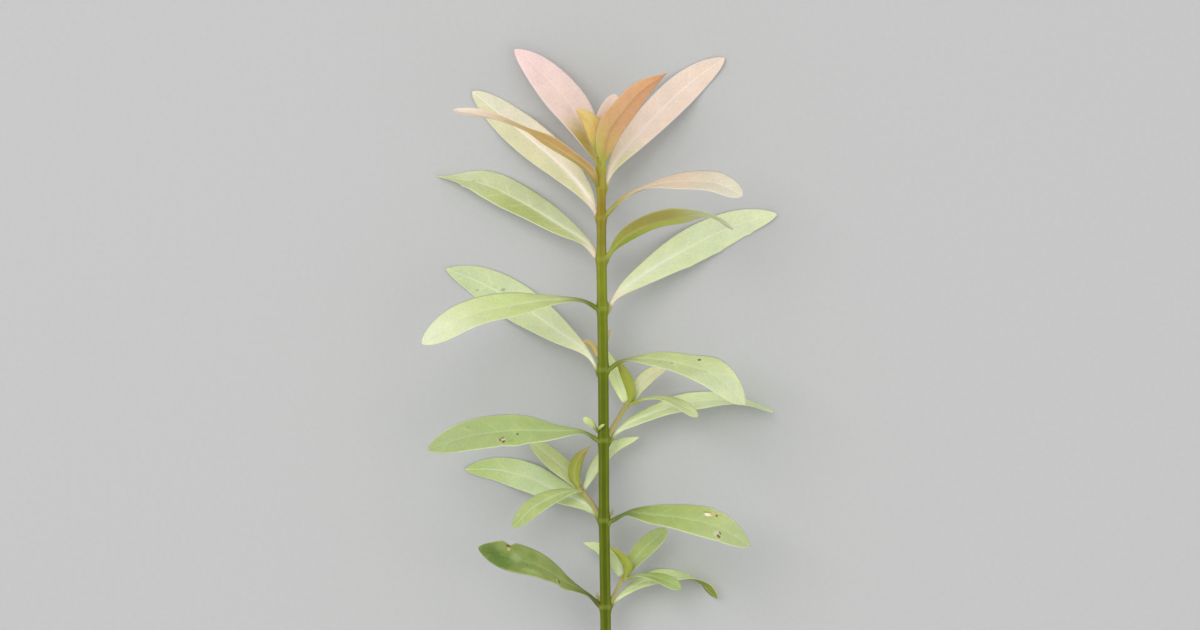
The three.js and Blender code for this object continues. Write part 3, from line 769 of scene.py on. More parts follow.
class LeafSweep(Sweep):
    """Sweeps a leaf: a thin blade with a groove over its midrib, a keel below and sunken veins."""

    SIZES = (
        ("Sides", "NodeSocketInt", 48),
        ("Groove Depth", "NodeSocketFloat", 0.06 * MM),
        ("Groove Width", "NodeSocketFloat", 0.3 * MM),
        ("Vein Pairs", "NodeSocketFloat", 8.0),
        ("Vein Lean", "NodeSocketFloat", 0.8),
        ("Vein Depth", "NodeSocketFloat", 0.03 * MM),
        ("Wave Height", "NodeSocketFloat", 0.25 * MM),
        ("Waves", "NodeSocketFloat", 2.2),
        ("Unevenness", "NodeSocketFloat", 0.12 * MM),
        ("Table Blend", "NodeSocketFloat", 1.2 * MM),
        ("Seed", "NodeSocketFloat", 0.0),
    )
    NUMBERS = (
        "turn", "along_share", "half", "roundness", "reach_more", "reach_minus", "length", "fold", "keel"
    )
    KEPT = ("along_share", "along_mm")
    SWELLINGS = 260.0

    def connect(self) -> None:
        """Adds the nodes: a place across the section for each ring point, then its height."""
        across = (
            # From a turn to a share across the blade, 1 to -1 above and back below, closer at the midrib.
            ("centred", Step.SUBTRACT, "turn", 0.5),
            ("unsigned", Step.ABSOLUTE, "centred"),
            ("even", Step.MULTIPLY_ADD, "unsigned", 4.0, -1.0),
            ("size", Step.ABSOLUTE, "even"),
            ("eased", Step.POWER, "size", 1.25),
            ("side", Step.SIGN, "even"),
            ("share", Step.MULTIPLY, "eased", "side"),
            ("below", Step.SIGN, "centred"),
            ("above", Step.MULTIPLY, "below", -1.0),
            # The two halves of the blade have margins of their own.
            ("is_plus", Step.MAXIMUM, "side", 0.0),
            ("wider", Step.MULTIPLY, "is_plus", "reach_more"),
            ("reach", Step.ADD, "wider", "reach_minus"),
            ("sideways", Step.MULTIPLY, "share", "reach"),
            ("off_midrib", Step.ABSOLUTE, "sideways"),
            ("flat", Step.SUBTRACT, 1.0, "roundness"),
            ("squared", Step.MULTIPLY, "share", "share"),
            ("rest", Step.SUBTRACT, 1.0, "squared"),
            ("lens", Step.SQRT, "rest"),
            # Veins lean forwards as they leave the midrib, and more so near the rim.
            ("lean", Step.MULTIPLY, "off_midrib", "Vein Lean"),
            ("lean_share", Step.DIVIDE, "lean", "length"),
            ("curl", Step.MULTIPLY_ADD, "squared", 0.04, "lean_share"),
            ("start", Step.SUBTRACT, "along_share", "curl"),
            ("stagger", Step.MULTIPLY, "side", 0.11),
            ("phase", Step.MULTIPLY_ADD, "start", "Vein Pairs", "stagger"),
            ("to_vein", Step.PINGPONG, "phase", 0.5),
            ("vein", Step.EASE, "to_vein", 0.16, 0.0),
            ("vein_dip", Step.MULTIPLY, "vein", "Vein Depth"),
            # The blade's middle surface: folded along the midrib, waved at the rim, dipped at the veins.
            ("folded", Step.MULTIPLY, "off_midrib", "fold"),
            ("wave_turn", Step.MULTIPLY_ADD, "along_share", "Waves", "Seed"),
            ("wave_side", Step.MULTIPLY_ADD, "side", 0.21, "wave_turn"),
            ("wave_angle", Step.MULTIPLY, "wave_side", math.tau),
            ("wave", Step.SINE, "wave_angle"),
            ("wave_edge", Step.MULTIPLY, "wave", "squared"),
            ("waved", Step.MULTIPLY_ADD, "wave_edge", "Wave Height", "folded"),
            ("flat_place", Step.VECTOR_MULTIPLY_ADD, "across", "sideways", "rail"),
        )
        add_chain(self.tree, self.values, across)
        self.values["noise"] = self.uneven("flat_place")
        middle = (
            ("centred_noise", Step.SUBTRACT, "noise", 0.5),
            ("bumpy", Step.MULTIPLY_ADD, "centred_noise", "Unevenness", "waved"),
            ("dipped", Step.SUBTRACT, "bumpy", "vein_dip"),
            ("rise", Step.MULTIPLY, "dipped", "flat"),
            ("middle", Step.VECTOR_MULTIPLY_ADD, "upper", "rise", "flat_place"),
        )
        add_chain(self.tree, self.values, middle)
        parts = add_node(self.tree, "ShaderNodeSeparateXYZ", None, {0: self.values["middle"]})
        self.values.update(zip(("x", "y", "z"), parts.outputs))
        surface = (
            # What would pass below the floor eases into lying on it.
            ("height_off", Step.SUBTRACT, "z", "half"),
            ("distance", Step.ABSOLUTE, "height_off"),
            ("short_of_blend", Step.SUBTRACT, "Table Blend", "distance"),
            ("near", Step.MAXIMUM, "short_of_blend", 0.0),
            ("near_squared", Step.MULTIPLY, "near", "near"),
            ("four_blends", Step.MULTIPLY, "Table Blend", 4.0),
            ("ease", Step.DIVIDE, "near_squared", "four_blends"),
            ("floor", Step.MAXIMUM, "z", "half"),
            ("laid", Step.ADD, "floor", "ease"),
            ("rested", Step.COMBINE, "x", "y", "laid"),
            # Half the thickness up or down, the groove taken off above and the keel added below.
            ("off_share", Step.DIVIDE, "off_midrib", "Groove Width"),
            ("off_squared", Step.MULTIPLY, "off_share", "off_share"),
            ("negative", Step.MULTIPLY, "off_squared", -1.0),
            ("bell", Step.EXPONENT, "negative"),
            ("flat_bell", Step.MULTIPLY, "bell", "flat"),
            ("is_below", Step.MAXIMUM, "below", 0.0),
            ("keel_here", Step.MULTIPLY, "is_below", "keel"),
            ("is_above", Step.MAXIMUM, "above", 0.0),
            ("groove", Step.MULTIPLY_ADD, "is_above", "Groove Depth", "keel_here"),
            ("rib_drop", Step.MULTIPLY, "groove", "flat_bell"),
            ("half_here", Step.MULTIPLY, "half", "lens"),
            ("signed_half", Step.MULTIPLY, "half_here", "above"),
            ("height", Step.SUBTRACT, "signed_half", "rib_drop"),
            ("placed", Step.VECTOR_MULTIPLY_ADD, "upper", "height", "rested"),
            ("on_floor", Step.VECTOR_MAXIMUM, "placed", (-10.0, -10.0, 0.0)),
            # What the finish reads.
            ("side_mm", Step.DIVIDE, "sideways", MM),
            ("face", Step.MULTIPLY, "above", "lens"),
            ("to_margin", Step.SUBTRACT, "reach", "off_midrib"),
            ("margin_mm", Step.DIVIDE, "to_margin", MM),
        )
        add_chain(self.tree, self.values, surface)
        kept = {
            "side_mm": "side_mm",
            "edge_share": "size",
            "margin_mm": "margin_mm",
            "above": "face",
            "vein_phase": "phase",
        }
        self.finish("on_floor", kept)


class RodSweep(Sweep):
    """Sweeps a stem or a bud: four-angled where it is given a groove, round where it isn't."""

    SIZES = (
        ("Sides", "NodeSocketInt", 48),
        ("Squareness", "NodeSocketFloat", 0.04),
        ("Groove Depth", "NodeSocketFloat", 0.05 * MM),
        ("Unevenness", "NodeSocketFloat", 0.05 * MM),
        ("Seed", "NodeSocketFloat", 0.0),
    )
    NUMBERS = ("turn", "girth", "plain")
    KEPT = ("along_share", "joint", "cut")

    def connect(self) -> None:
        """Adds the nodes: the reach of each ring point from the line, then its place."""
        self.values["noise"] = self.uneven("rail")
        rows = (
            ("angle", Step.MULTIPLY, "turn", math.tau),
            ("four_turns", Step.MULTIPLY, "angle", 4.0),
            ("face", Step.COSINE, "four_turns"),
            ("hollow", Step.MULTIPLY, "face", "Squareness"),
            ("full", Step.SUBTRACT, 1.0, "hollow"),
            ("square_reach", Step.MULTIPLY, "full", "girth"),
            ("channel", Step.EASE, "face", 0.2, 1.0),
            ("depth", Step.MULTIPLY, "channel", "Groove Depth"),
            ("shallow", Step.MULTIPLY, "depth", "plain"),
            ("grooved", Step.SUBTRACT, "square_reach", "shallow"),
            ("drop", Step.MULTIPLY, "noise", "Unevenness"),
            ("reach", Step.SUBTRACT, "grooved", "drop"),
            ("cosine", Step.COSINE, "angle"),
            ("sine", Step.SINE, "angle"),
            ("right", Step.MULTIPLY, "cosine", "reach"),
            ("up", Step.MULTIPLY, "sine", "reach"),
            ("right_place", Step.VECTOR_MULTIPLY_ADD, "across", "right", "rail"),
            ("placed", Step.VECTOR_MULTIPLY_ADD, "upper", "up", "right_place"),
        )
        add_chain(self.tree, self.values, rows)
        self.finish("placed", {"face": "face"})


@dataclass(frozen=True)
class Making:
    """How finely and how thick a leaf is made, its root's size and how far that runs down the stem."""

    rings: int
    sides: int
    half_thickness: float
    vein_depth: float
    groove_depth: float
    wave_share: float
    root_size: float
    run_down: float


class Growth(Enum):
    """How far a leaf has grown, which sets how it is made."""

    GROWN = Making(
        rings=150, sides=48, half_thickness=0.16, vein_depth=0.03, groove_depth=0.06, wave_share=1.0,
        root_size=1.0, run_down=1.0,
    )
    YOUNG = Making(
        rings=64, sides=32, half_thickness=0.13, vein_depth=0.015, groove_depth=0.03, wave_share=0.4,
        root_size=0.5, run_down=0.0,
    )


@dataclass(frozen=True)
class Leaf:
    """A leaf: half its greatest width, its stalk's and widest place's shares of the length, and its
    midrib as points with the angle that the upper side faces: 90 up from the floor, 0 along the stem.

    The root is the part sunk in the stem: per ring how far back it stands, how far it runs down the
    stem, and its share of the stalk's size.
    """

    name: str
    half_width: float
    widest: float
    midrib: tuple[FacedPoint, ...]
    finish: LeafFinish
    stalk: float = 0.02
    growth: Growth = Growth.GROWN
    vein_pairs: float = 8.0
    wave: float = 0.22
    seed: float = 0.0
    taper: float = 0.66
    bites: tuple[Bite, ...] = ()
    stalk_radius: float = 0.52
    stalk_flare: float = 0.35
    keel: float = 0.14
    fold: float = 0.13
    root: tuple[Point, ...] = (
        (0.95, 1.6, 0.25), (0.85, 1.15, 0.55), (0.65, 0.65, 0.85), (0.35, 0.25, 1.0)
    )

    # Rings stand evenly by this share and closer at both ends by the rest, up to the last share.
    EVEN_SHARE = 0.35
    LAST_SHARE = 0.9996
    # The shares of the length in which the foot flares, the tip thins and the keel runs out.
    FLARE_SHARE = 0.05
    TIP_SHARE = 0.02
    KEEL_SHARE = 0.25
    LEAST_REACH = 0.1

    def outline(self, share: float) -> float:
        """Half the blade's width at a share of the length, as a share of its greatest half width."""
        along = min(max((share - self.stalk) / (1 - self.stalk), 0.0), 1.0)
        base_taper = self.taper * self.widest / (1 - self.widest)
        return (along / self.widest) ** base_taper * ((1 - along) / (1 - self.widest)) ** self.taper

    def margin(self, reach: float, along: float, side: int) -> float:
        """The reach of one half of the blade, with its bites taken out.

        Args:
            reach: The even reach, in millimetres.
            along: The place along the midrib.
            side: Which half, 1 or -1.

        Returns:
            The reach of that half.
        """
        bites = [bite for bite in self.bites if bite.side == side]
        cuts = [bite.depth * math.exp(-(((along - bite.along) / bite.spread) ** 2)) for bite in bites]
        return max(reach - sum(cuts), self.LEAST_REACH)

    def rings(self, path: Path) -> list[tuple[float, Vector, float]]:
        """Places the rings of the root and the blade.

        Args:
            path: The midrib.

        Returns:
            Per ring its share of the length, its centre and its share of the full size.
        """
        making = self.growth.value
        start = path.place(0)
        heading = path.heading(0)
        roots = []
        for back, drop, narrowing in self.root:
            sunk = start - (heading * back + Vector((0, drop * making.run_down, 0))) * making.root_size
            roots.append((0.0, sunk, narrowing))
        body = []
        for step in range(making.rings + 1):
            even = step / making.rings
            eased = 0.5 - 0.5 * math.cos(math.pi * even)
            share = min(self.EVEN_SHARE * even + (1 - self.EVEN_SHARE) * eased, self.LAST_SHARE)
            body.append((share, path.place(share), 1.0))
        return roots + body

    def line(self) -> dict[str, np.ndarray]:
        """Works out the sizes along the midrib.

        Returns:
            The values that the leaf sweep reads at each point of the midrib, in metres.
        """
        # The stalk, its flare and the keel of a young leaf go by how wide it is so far.
        size = min(self.half_width / 3, 1) + 0.25 if self.growth is Growth.YOUNG else 1.0
        path = Path(tuple(point[:3] for point in self.midrib))
        angles = [point[3] for point in self.midrib]
        rings = self.rings(path)
        stalk_radius = size * self.stalk_radius
        rows = []
        for order, (share, centre, narrowing) in enumerate(rings):
            forward = path.heading(share)
            if order < len(self.root):
                forward = (rings[order + 1][1] - centre + 0.5 * forward).normalized()
            angle = math.radians(spline(angles, path.parameter_of(share)))
            upper = Vector((0, math.cos(angle), math.sin(angle)))
            upper = (upper - forward * upper.dot(forward)).normalized()
            left = 1 - share
            blade = self.half_width * self.outline(share)
            stalk = stalk_radius * left
            flare = size * self.stalk_flare * max(1 - share / self.FLARE_SHARE, 0) ** 2
            roundness = stalk**2 / (blade**2 + stalk**2)
            thin = self.growth.value.half_thickness * min(1.0, math.sqrt(left / self.TIP_SHARE))
            half = (thin + (stalk_radius - thin) * roundness) * narrowing
            reach = (math.hypot(blade, stalk) + flare) * narrowing
            along = share * path.length
            minus = self.margin(reach, along, -1)
            row = {
                "rail": [part * MM for part in centre],
                "across": list(forward.cross(upper)),
                "upper": list(upper),
                "reach_minus": minus * MM,
                "reach_more": (self.margin(reach, along, 1) - minus) * MM,
                "half": half * MM,
                "roundness": roundness,
                "keel": size * self.keel * min(left / self.KEEL_SHARE, 1) * MM,
                "fold": self.fold,
                "length": path.length * MM,
                "along_share": share,
                "along_mm": along,
            }
            rows.append(row)
        return columns(rows)

    def build(self, sweep: LeafSweep) -> bpy.types.Object:
        """Builds the leaf, puts it in its solid's place and dresses it.

        Args:
            sweep: The tree that sweeps it.

        Returns:
            The leaf.
        """
        making = self.growth.value
        sizes = {
            "Sides": making.sides,
            "Vein Pairs": self.vein_pairs,
            "Vein Depth": making.vein_depth * MM,
            "Wave Height": self.wave * making.wave_share * MM,
            "Groove Depth": making.groove_depth * MM,
            "Seed": self.seed,
            "Finish": self.finish.make(),
        }
        piece = sweep.grow(f"{self.name}_blade", self.line(), sizes)
        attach(piece, "root")
        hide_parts(self.name)
        return piece


@dataclass(frozen=True)
class Rod:
    """A shoot's stem or a small bud: the points of its axis, its radius at each, and how far its
    root is sunk in what it grows from. Its far end is rounded over a last radius."""

    name: str
    points: tuple[Point, ...]
    radii: tuple[float, ...]
    finish: StemTissue
    root: float = 0.6
    rings: int = 40
    sides: int = 24
    seed: float = 0.0

    # The last ring's share of the radius, and how uneven the skin is, in millimetres.
    LAST_RING = 0.02
    UNEVENNESS = 0.03

    def line(self) -> dict[str, np.ndarray]:
        """Works out the sizes along the axis.

        Returns:
            The values that the rod sweep reads at each point of the axis, in metres.
        """
        path = Path(self.points)
        end_length = self.radii[-1]
        rows = []
        for step in range(-1, self.rings + 1):
            share = min(max(step / self.rings, 0.0), 1.0)
            along = share * (path.length + end_length)
            path_share = min(along / path.length, 1.0)
            past = max(along - path.length, 0.0)
            forward = path.heading(path_share)
            centre = path.place(path_share) + forward * past
            if step < 0:
                centre = centre - forward * self.root
            rounding = math.sqrt(max(1 - (past / end_length) ** 2, self.LAST_RING**2))
            across = Vector((0, 0, 1)).cross(forward).normalized()
            row = {
                "rail": [part * MM for part in centre],
                "across": list(across),
                "upper": list(forward.cross(across)),
                "girth": spline(list(self.radii), path_share) * rounding * MM,
                "plain": 0.0,
                "along_share": share,
                "joint": 0.0,
                "cut": 0.0,
            }
            rows.append(row)
        return columns(rows)

    def build(self, sweep: RodSweep) -> bpy.types.Object:
        """Builds the rod, puts it in its solid's place and dresses it.

        Args:
            sweep: The tree that sweeps it.

        Returns:
            The rod.
        """
        sizes = {
            "Sides": self.sides,
            "Squareness": 0.0,
            "Unevenness": self.UNEVENNESS * MM,
            "Seed": self.seed,
            "Finish": self.finish.make(),
        }
        piece = sweep.grow(f"{self.name}_skin", self.line(), sizes)
        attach(piece, "root")
        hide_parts(self.name)
        return piece


@dataclass
class MainStem:
    """The four-angled main stem, with a swelling and a pale ring at each pair of leaves.

    Each joint is a place and the radius of the stem above it. A swelling starts and is full at two
    distances from the joint, and the stem thins to its next radius between two places. A crease runs
    round each joint, where the grooves fade. The cut end and the tip are closed by rings at small
    steps, given as shares of the radius and as radii.
    """

    cut: Point = (1.2, -67.3, 7.6)
    joints: tuple[FacedPoint, ...] = (
        (1.1, -55.4, 8.2, 1.28),
        (0.8, -36.3, 9.2, 1.28),
        (0.7, -18.6, 10.0, 1.27),
        (0.6, -3.0, 10.7, 1.27),
        (0.4, 10.4, 11.3, 1.25),
        (0.2, 21.3, 11.7, 1.16),
        (0.2, 30.4, 12.0, 1.04),
        (0.2, 37.3, 12.1, 0.93),
        (0.1, 41.2, 12.2, 0.76),
        (0.2, 43.6, 12.4, 0.55),
    )
    top: float = 44.6
    swelling: float = 0.15
    swelling_below: tuple[float, float] = (1.8, 0.4)
    swelling_above: tuple[float, float] = (2.2, 0.6)
    thinning_reach: tuple[float, float] = (-0.1, 1.5)
    step: float = 0.3
    cut_gap: float = 0.15
    tip_gap: float = 0.2
    joint_steps: tuple[float, ...] = (-0.2, -0.1, 0.0, 0.1, 0.2)
    ring_width: float = 0.6
    crease: float = 0.04
    crease_share: float = 0.12
    groove_fade: float = 0.8
    cut_step: float = 0.001
    cut_shares: tuple[float, ...] = (0.05, 0.3, 0.6, 0.93)
    tip_radii: tuple[tuple[float, float], ...] = ((-0.1, 0.42), (-0.03, 0.25), (0.0, 0.03))
    finish: StemTissue = StemTissue(
        "grooved stem tissue",
        # The groove's colours are painted shade: darker than the ridge's at each place along the stem.
        groove=(
            (0.3, "#505d04"), (0.52, "#566405"), (0.64, "#66720c"), (0.75, "#798316"),
            (0.83, "#837d20"), (0.9, "#8f7a24"), (0.96, "#a59638"),
        ),
        ridge=(
            (0.3, "#667118"), (0.52, "#66711c"), (0.64, "#767e2a"), (0.75, "#848b2e"),
            (0.83, "#8b863a"), (0.9, "#958430"), (0.96, "#a89c40"),
        ),
    )

    def radius_at(self, y: float) -> tuple[float, float]:
        """Works out the stem's thickness.

        Args:
            y: The place along the stem.

        Returns:
            The radius, and how near the place is to a joint's ring, from 0 to 1.
        """
        swell = 0.0
        ring = 0.0
        for joint in self.joints:
            away = y - joint[1]
            reach, full = self.swelling_below if away < 0 else self.swelling_above
            swell = max(swell, smoothstep(abs(away), reach, full))
            ring = max(ring, math.exp(-((away / self.ring_width) ** 2)))
        radius = self.joints[0][3]
        passed = [joint for joint in self.joints if joint[1] <= y]
        if len(passed) >= 2:
            blend = smoothstep(y - passed[-1][1], *self.thinning_reach)
            radius = passed[-2][3] + (passed[-1][3] - passed[-2][3]) * blend
        return radius * (1 + self.swelling * swell), ring

    def line(self) -> dict[str, np.ndarray]:
        """Works out the sizes along the stem.

        Returns:
            The values that the rod sweep reads at each point of the stem's axis, in metres.
        """
        ys = [self.cut[1]] + [joint[1] for joint in self.joints] + [self.top]
        xs = [self.cut[0]] + [joint[0] for joint in self.joints] + [self.joints[-1][0]]
        zs = [self.cut[2]] + [joint[2] for joint in self.joints] + [self.joints[-1][2]]
        stations = list(np.arange(self.cut[1] + self.cut_gap, self.top - self.tip_gap, self.step))
        for joint in self.joints:
            stations += [joint[1] + offset for offset in self.joint_steps]
        first = self.radius_at(self.cut[1])[0]
        flat = enumerate(self.cut_shares)
        rings = [(self.cut[1] + self.cut_step * order, first * share) for order, share in flat]
        rings += [(y, None) for y in sorted(stations)]
        rings += [(self.top + below, radius) for below, radius in self.tip_radii]
        rows = []
        for y, given in rings:
            radius, ring = self.radius_at(y)
            crease = self.crease * math.exp(-(((ring - 1) / self.crease_share) ** 2)) if ring > 0.5 else 0.0
            row = {
                "rail": [np.interp(y, ys, xs) * MM, y * MM, np.interp(y, ys, zs) * MM],
                "across": [1.0, 0.0, 0.0],
                "upper": [0.0, 0.0, 1.0],
                "girth": (radius - crease if given is None else given) * MM,
                "plain": 1 - self.groove_fade * ring,
                "along_share": (y - self.cut[1]) / (self.top - self.cut[1]),
                "joint": ring,
                "cut": 1.0 if given is not None and y < 0 else 0.0,
            }
            rows.append(row)
        return columns(rows)

    def build(self, sweep: RodSweep) -> bpy.types.Object:
        """Builds the stem, cut square at its lower end.

        Args:
            sweep: The tree that sweeps it.

        Returns:
            The stem.
        """
        piece = sweep.grow("stem_skin", self.line(), {"Sides": 64, "Seed": 3.0, "Finish": self.finish.make()})
        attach(piece, "root")
        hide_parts("stem")
        return piece


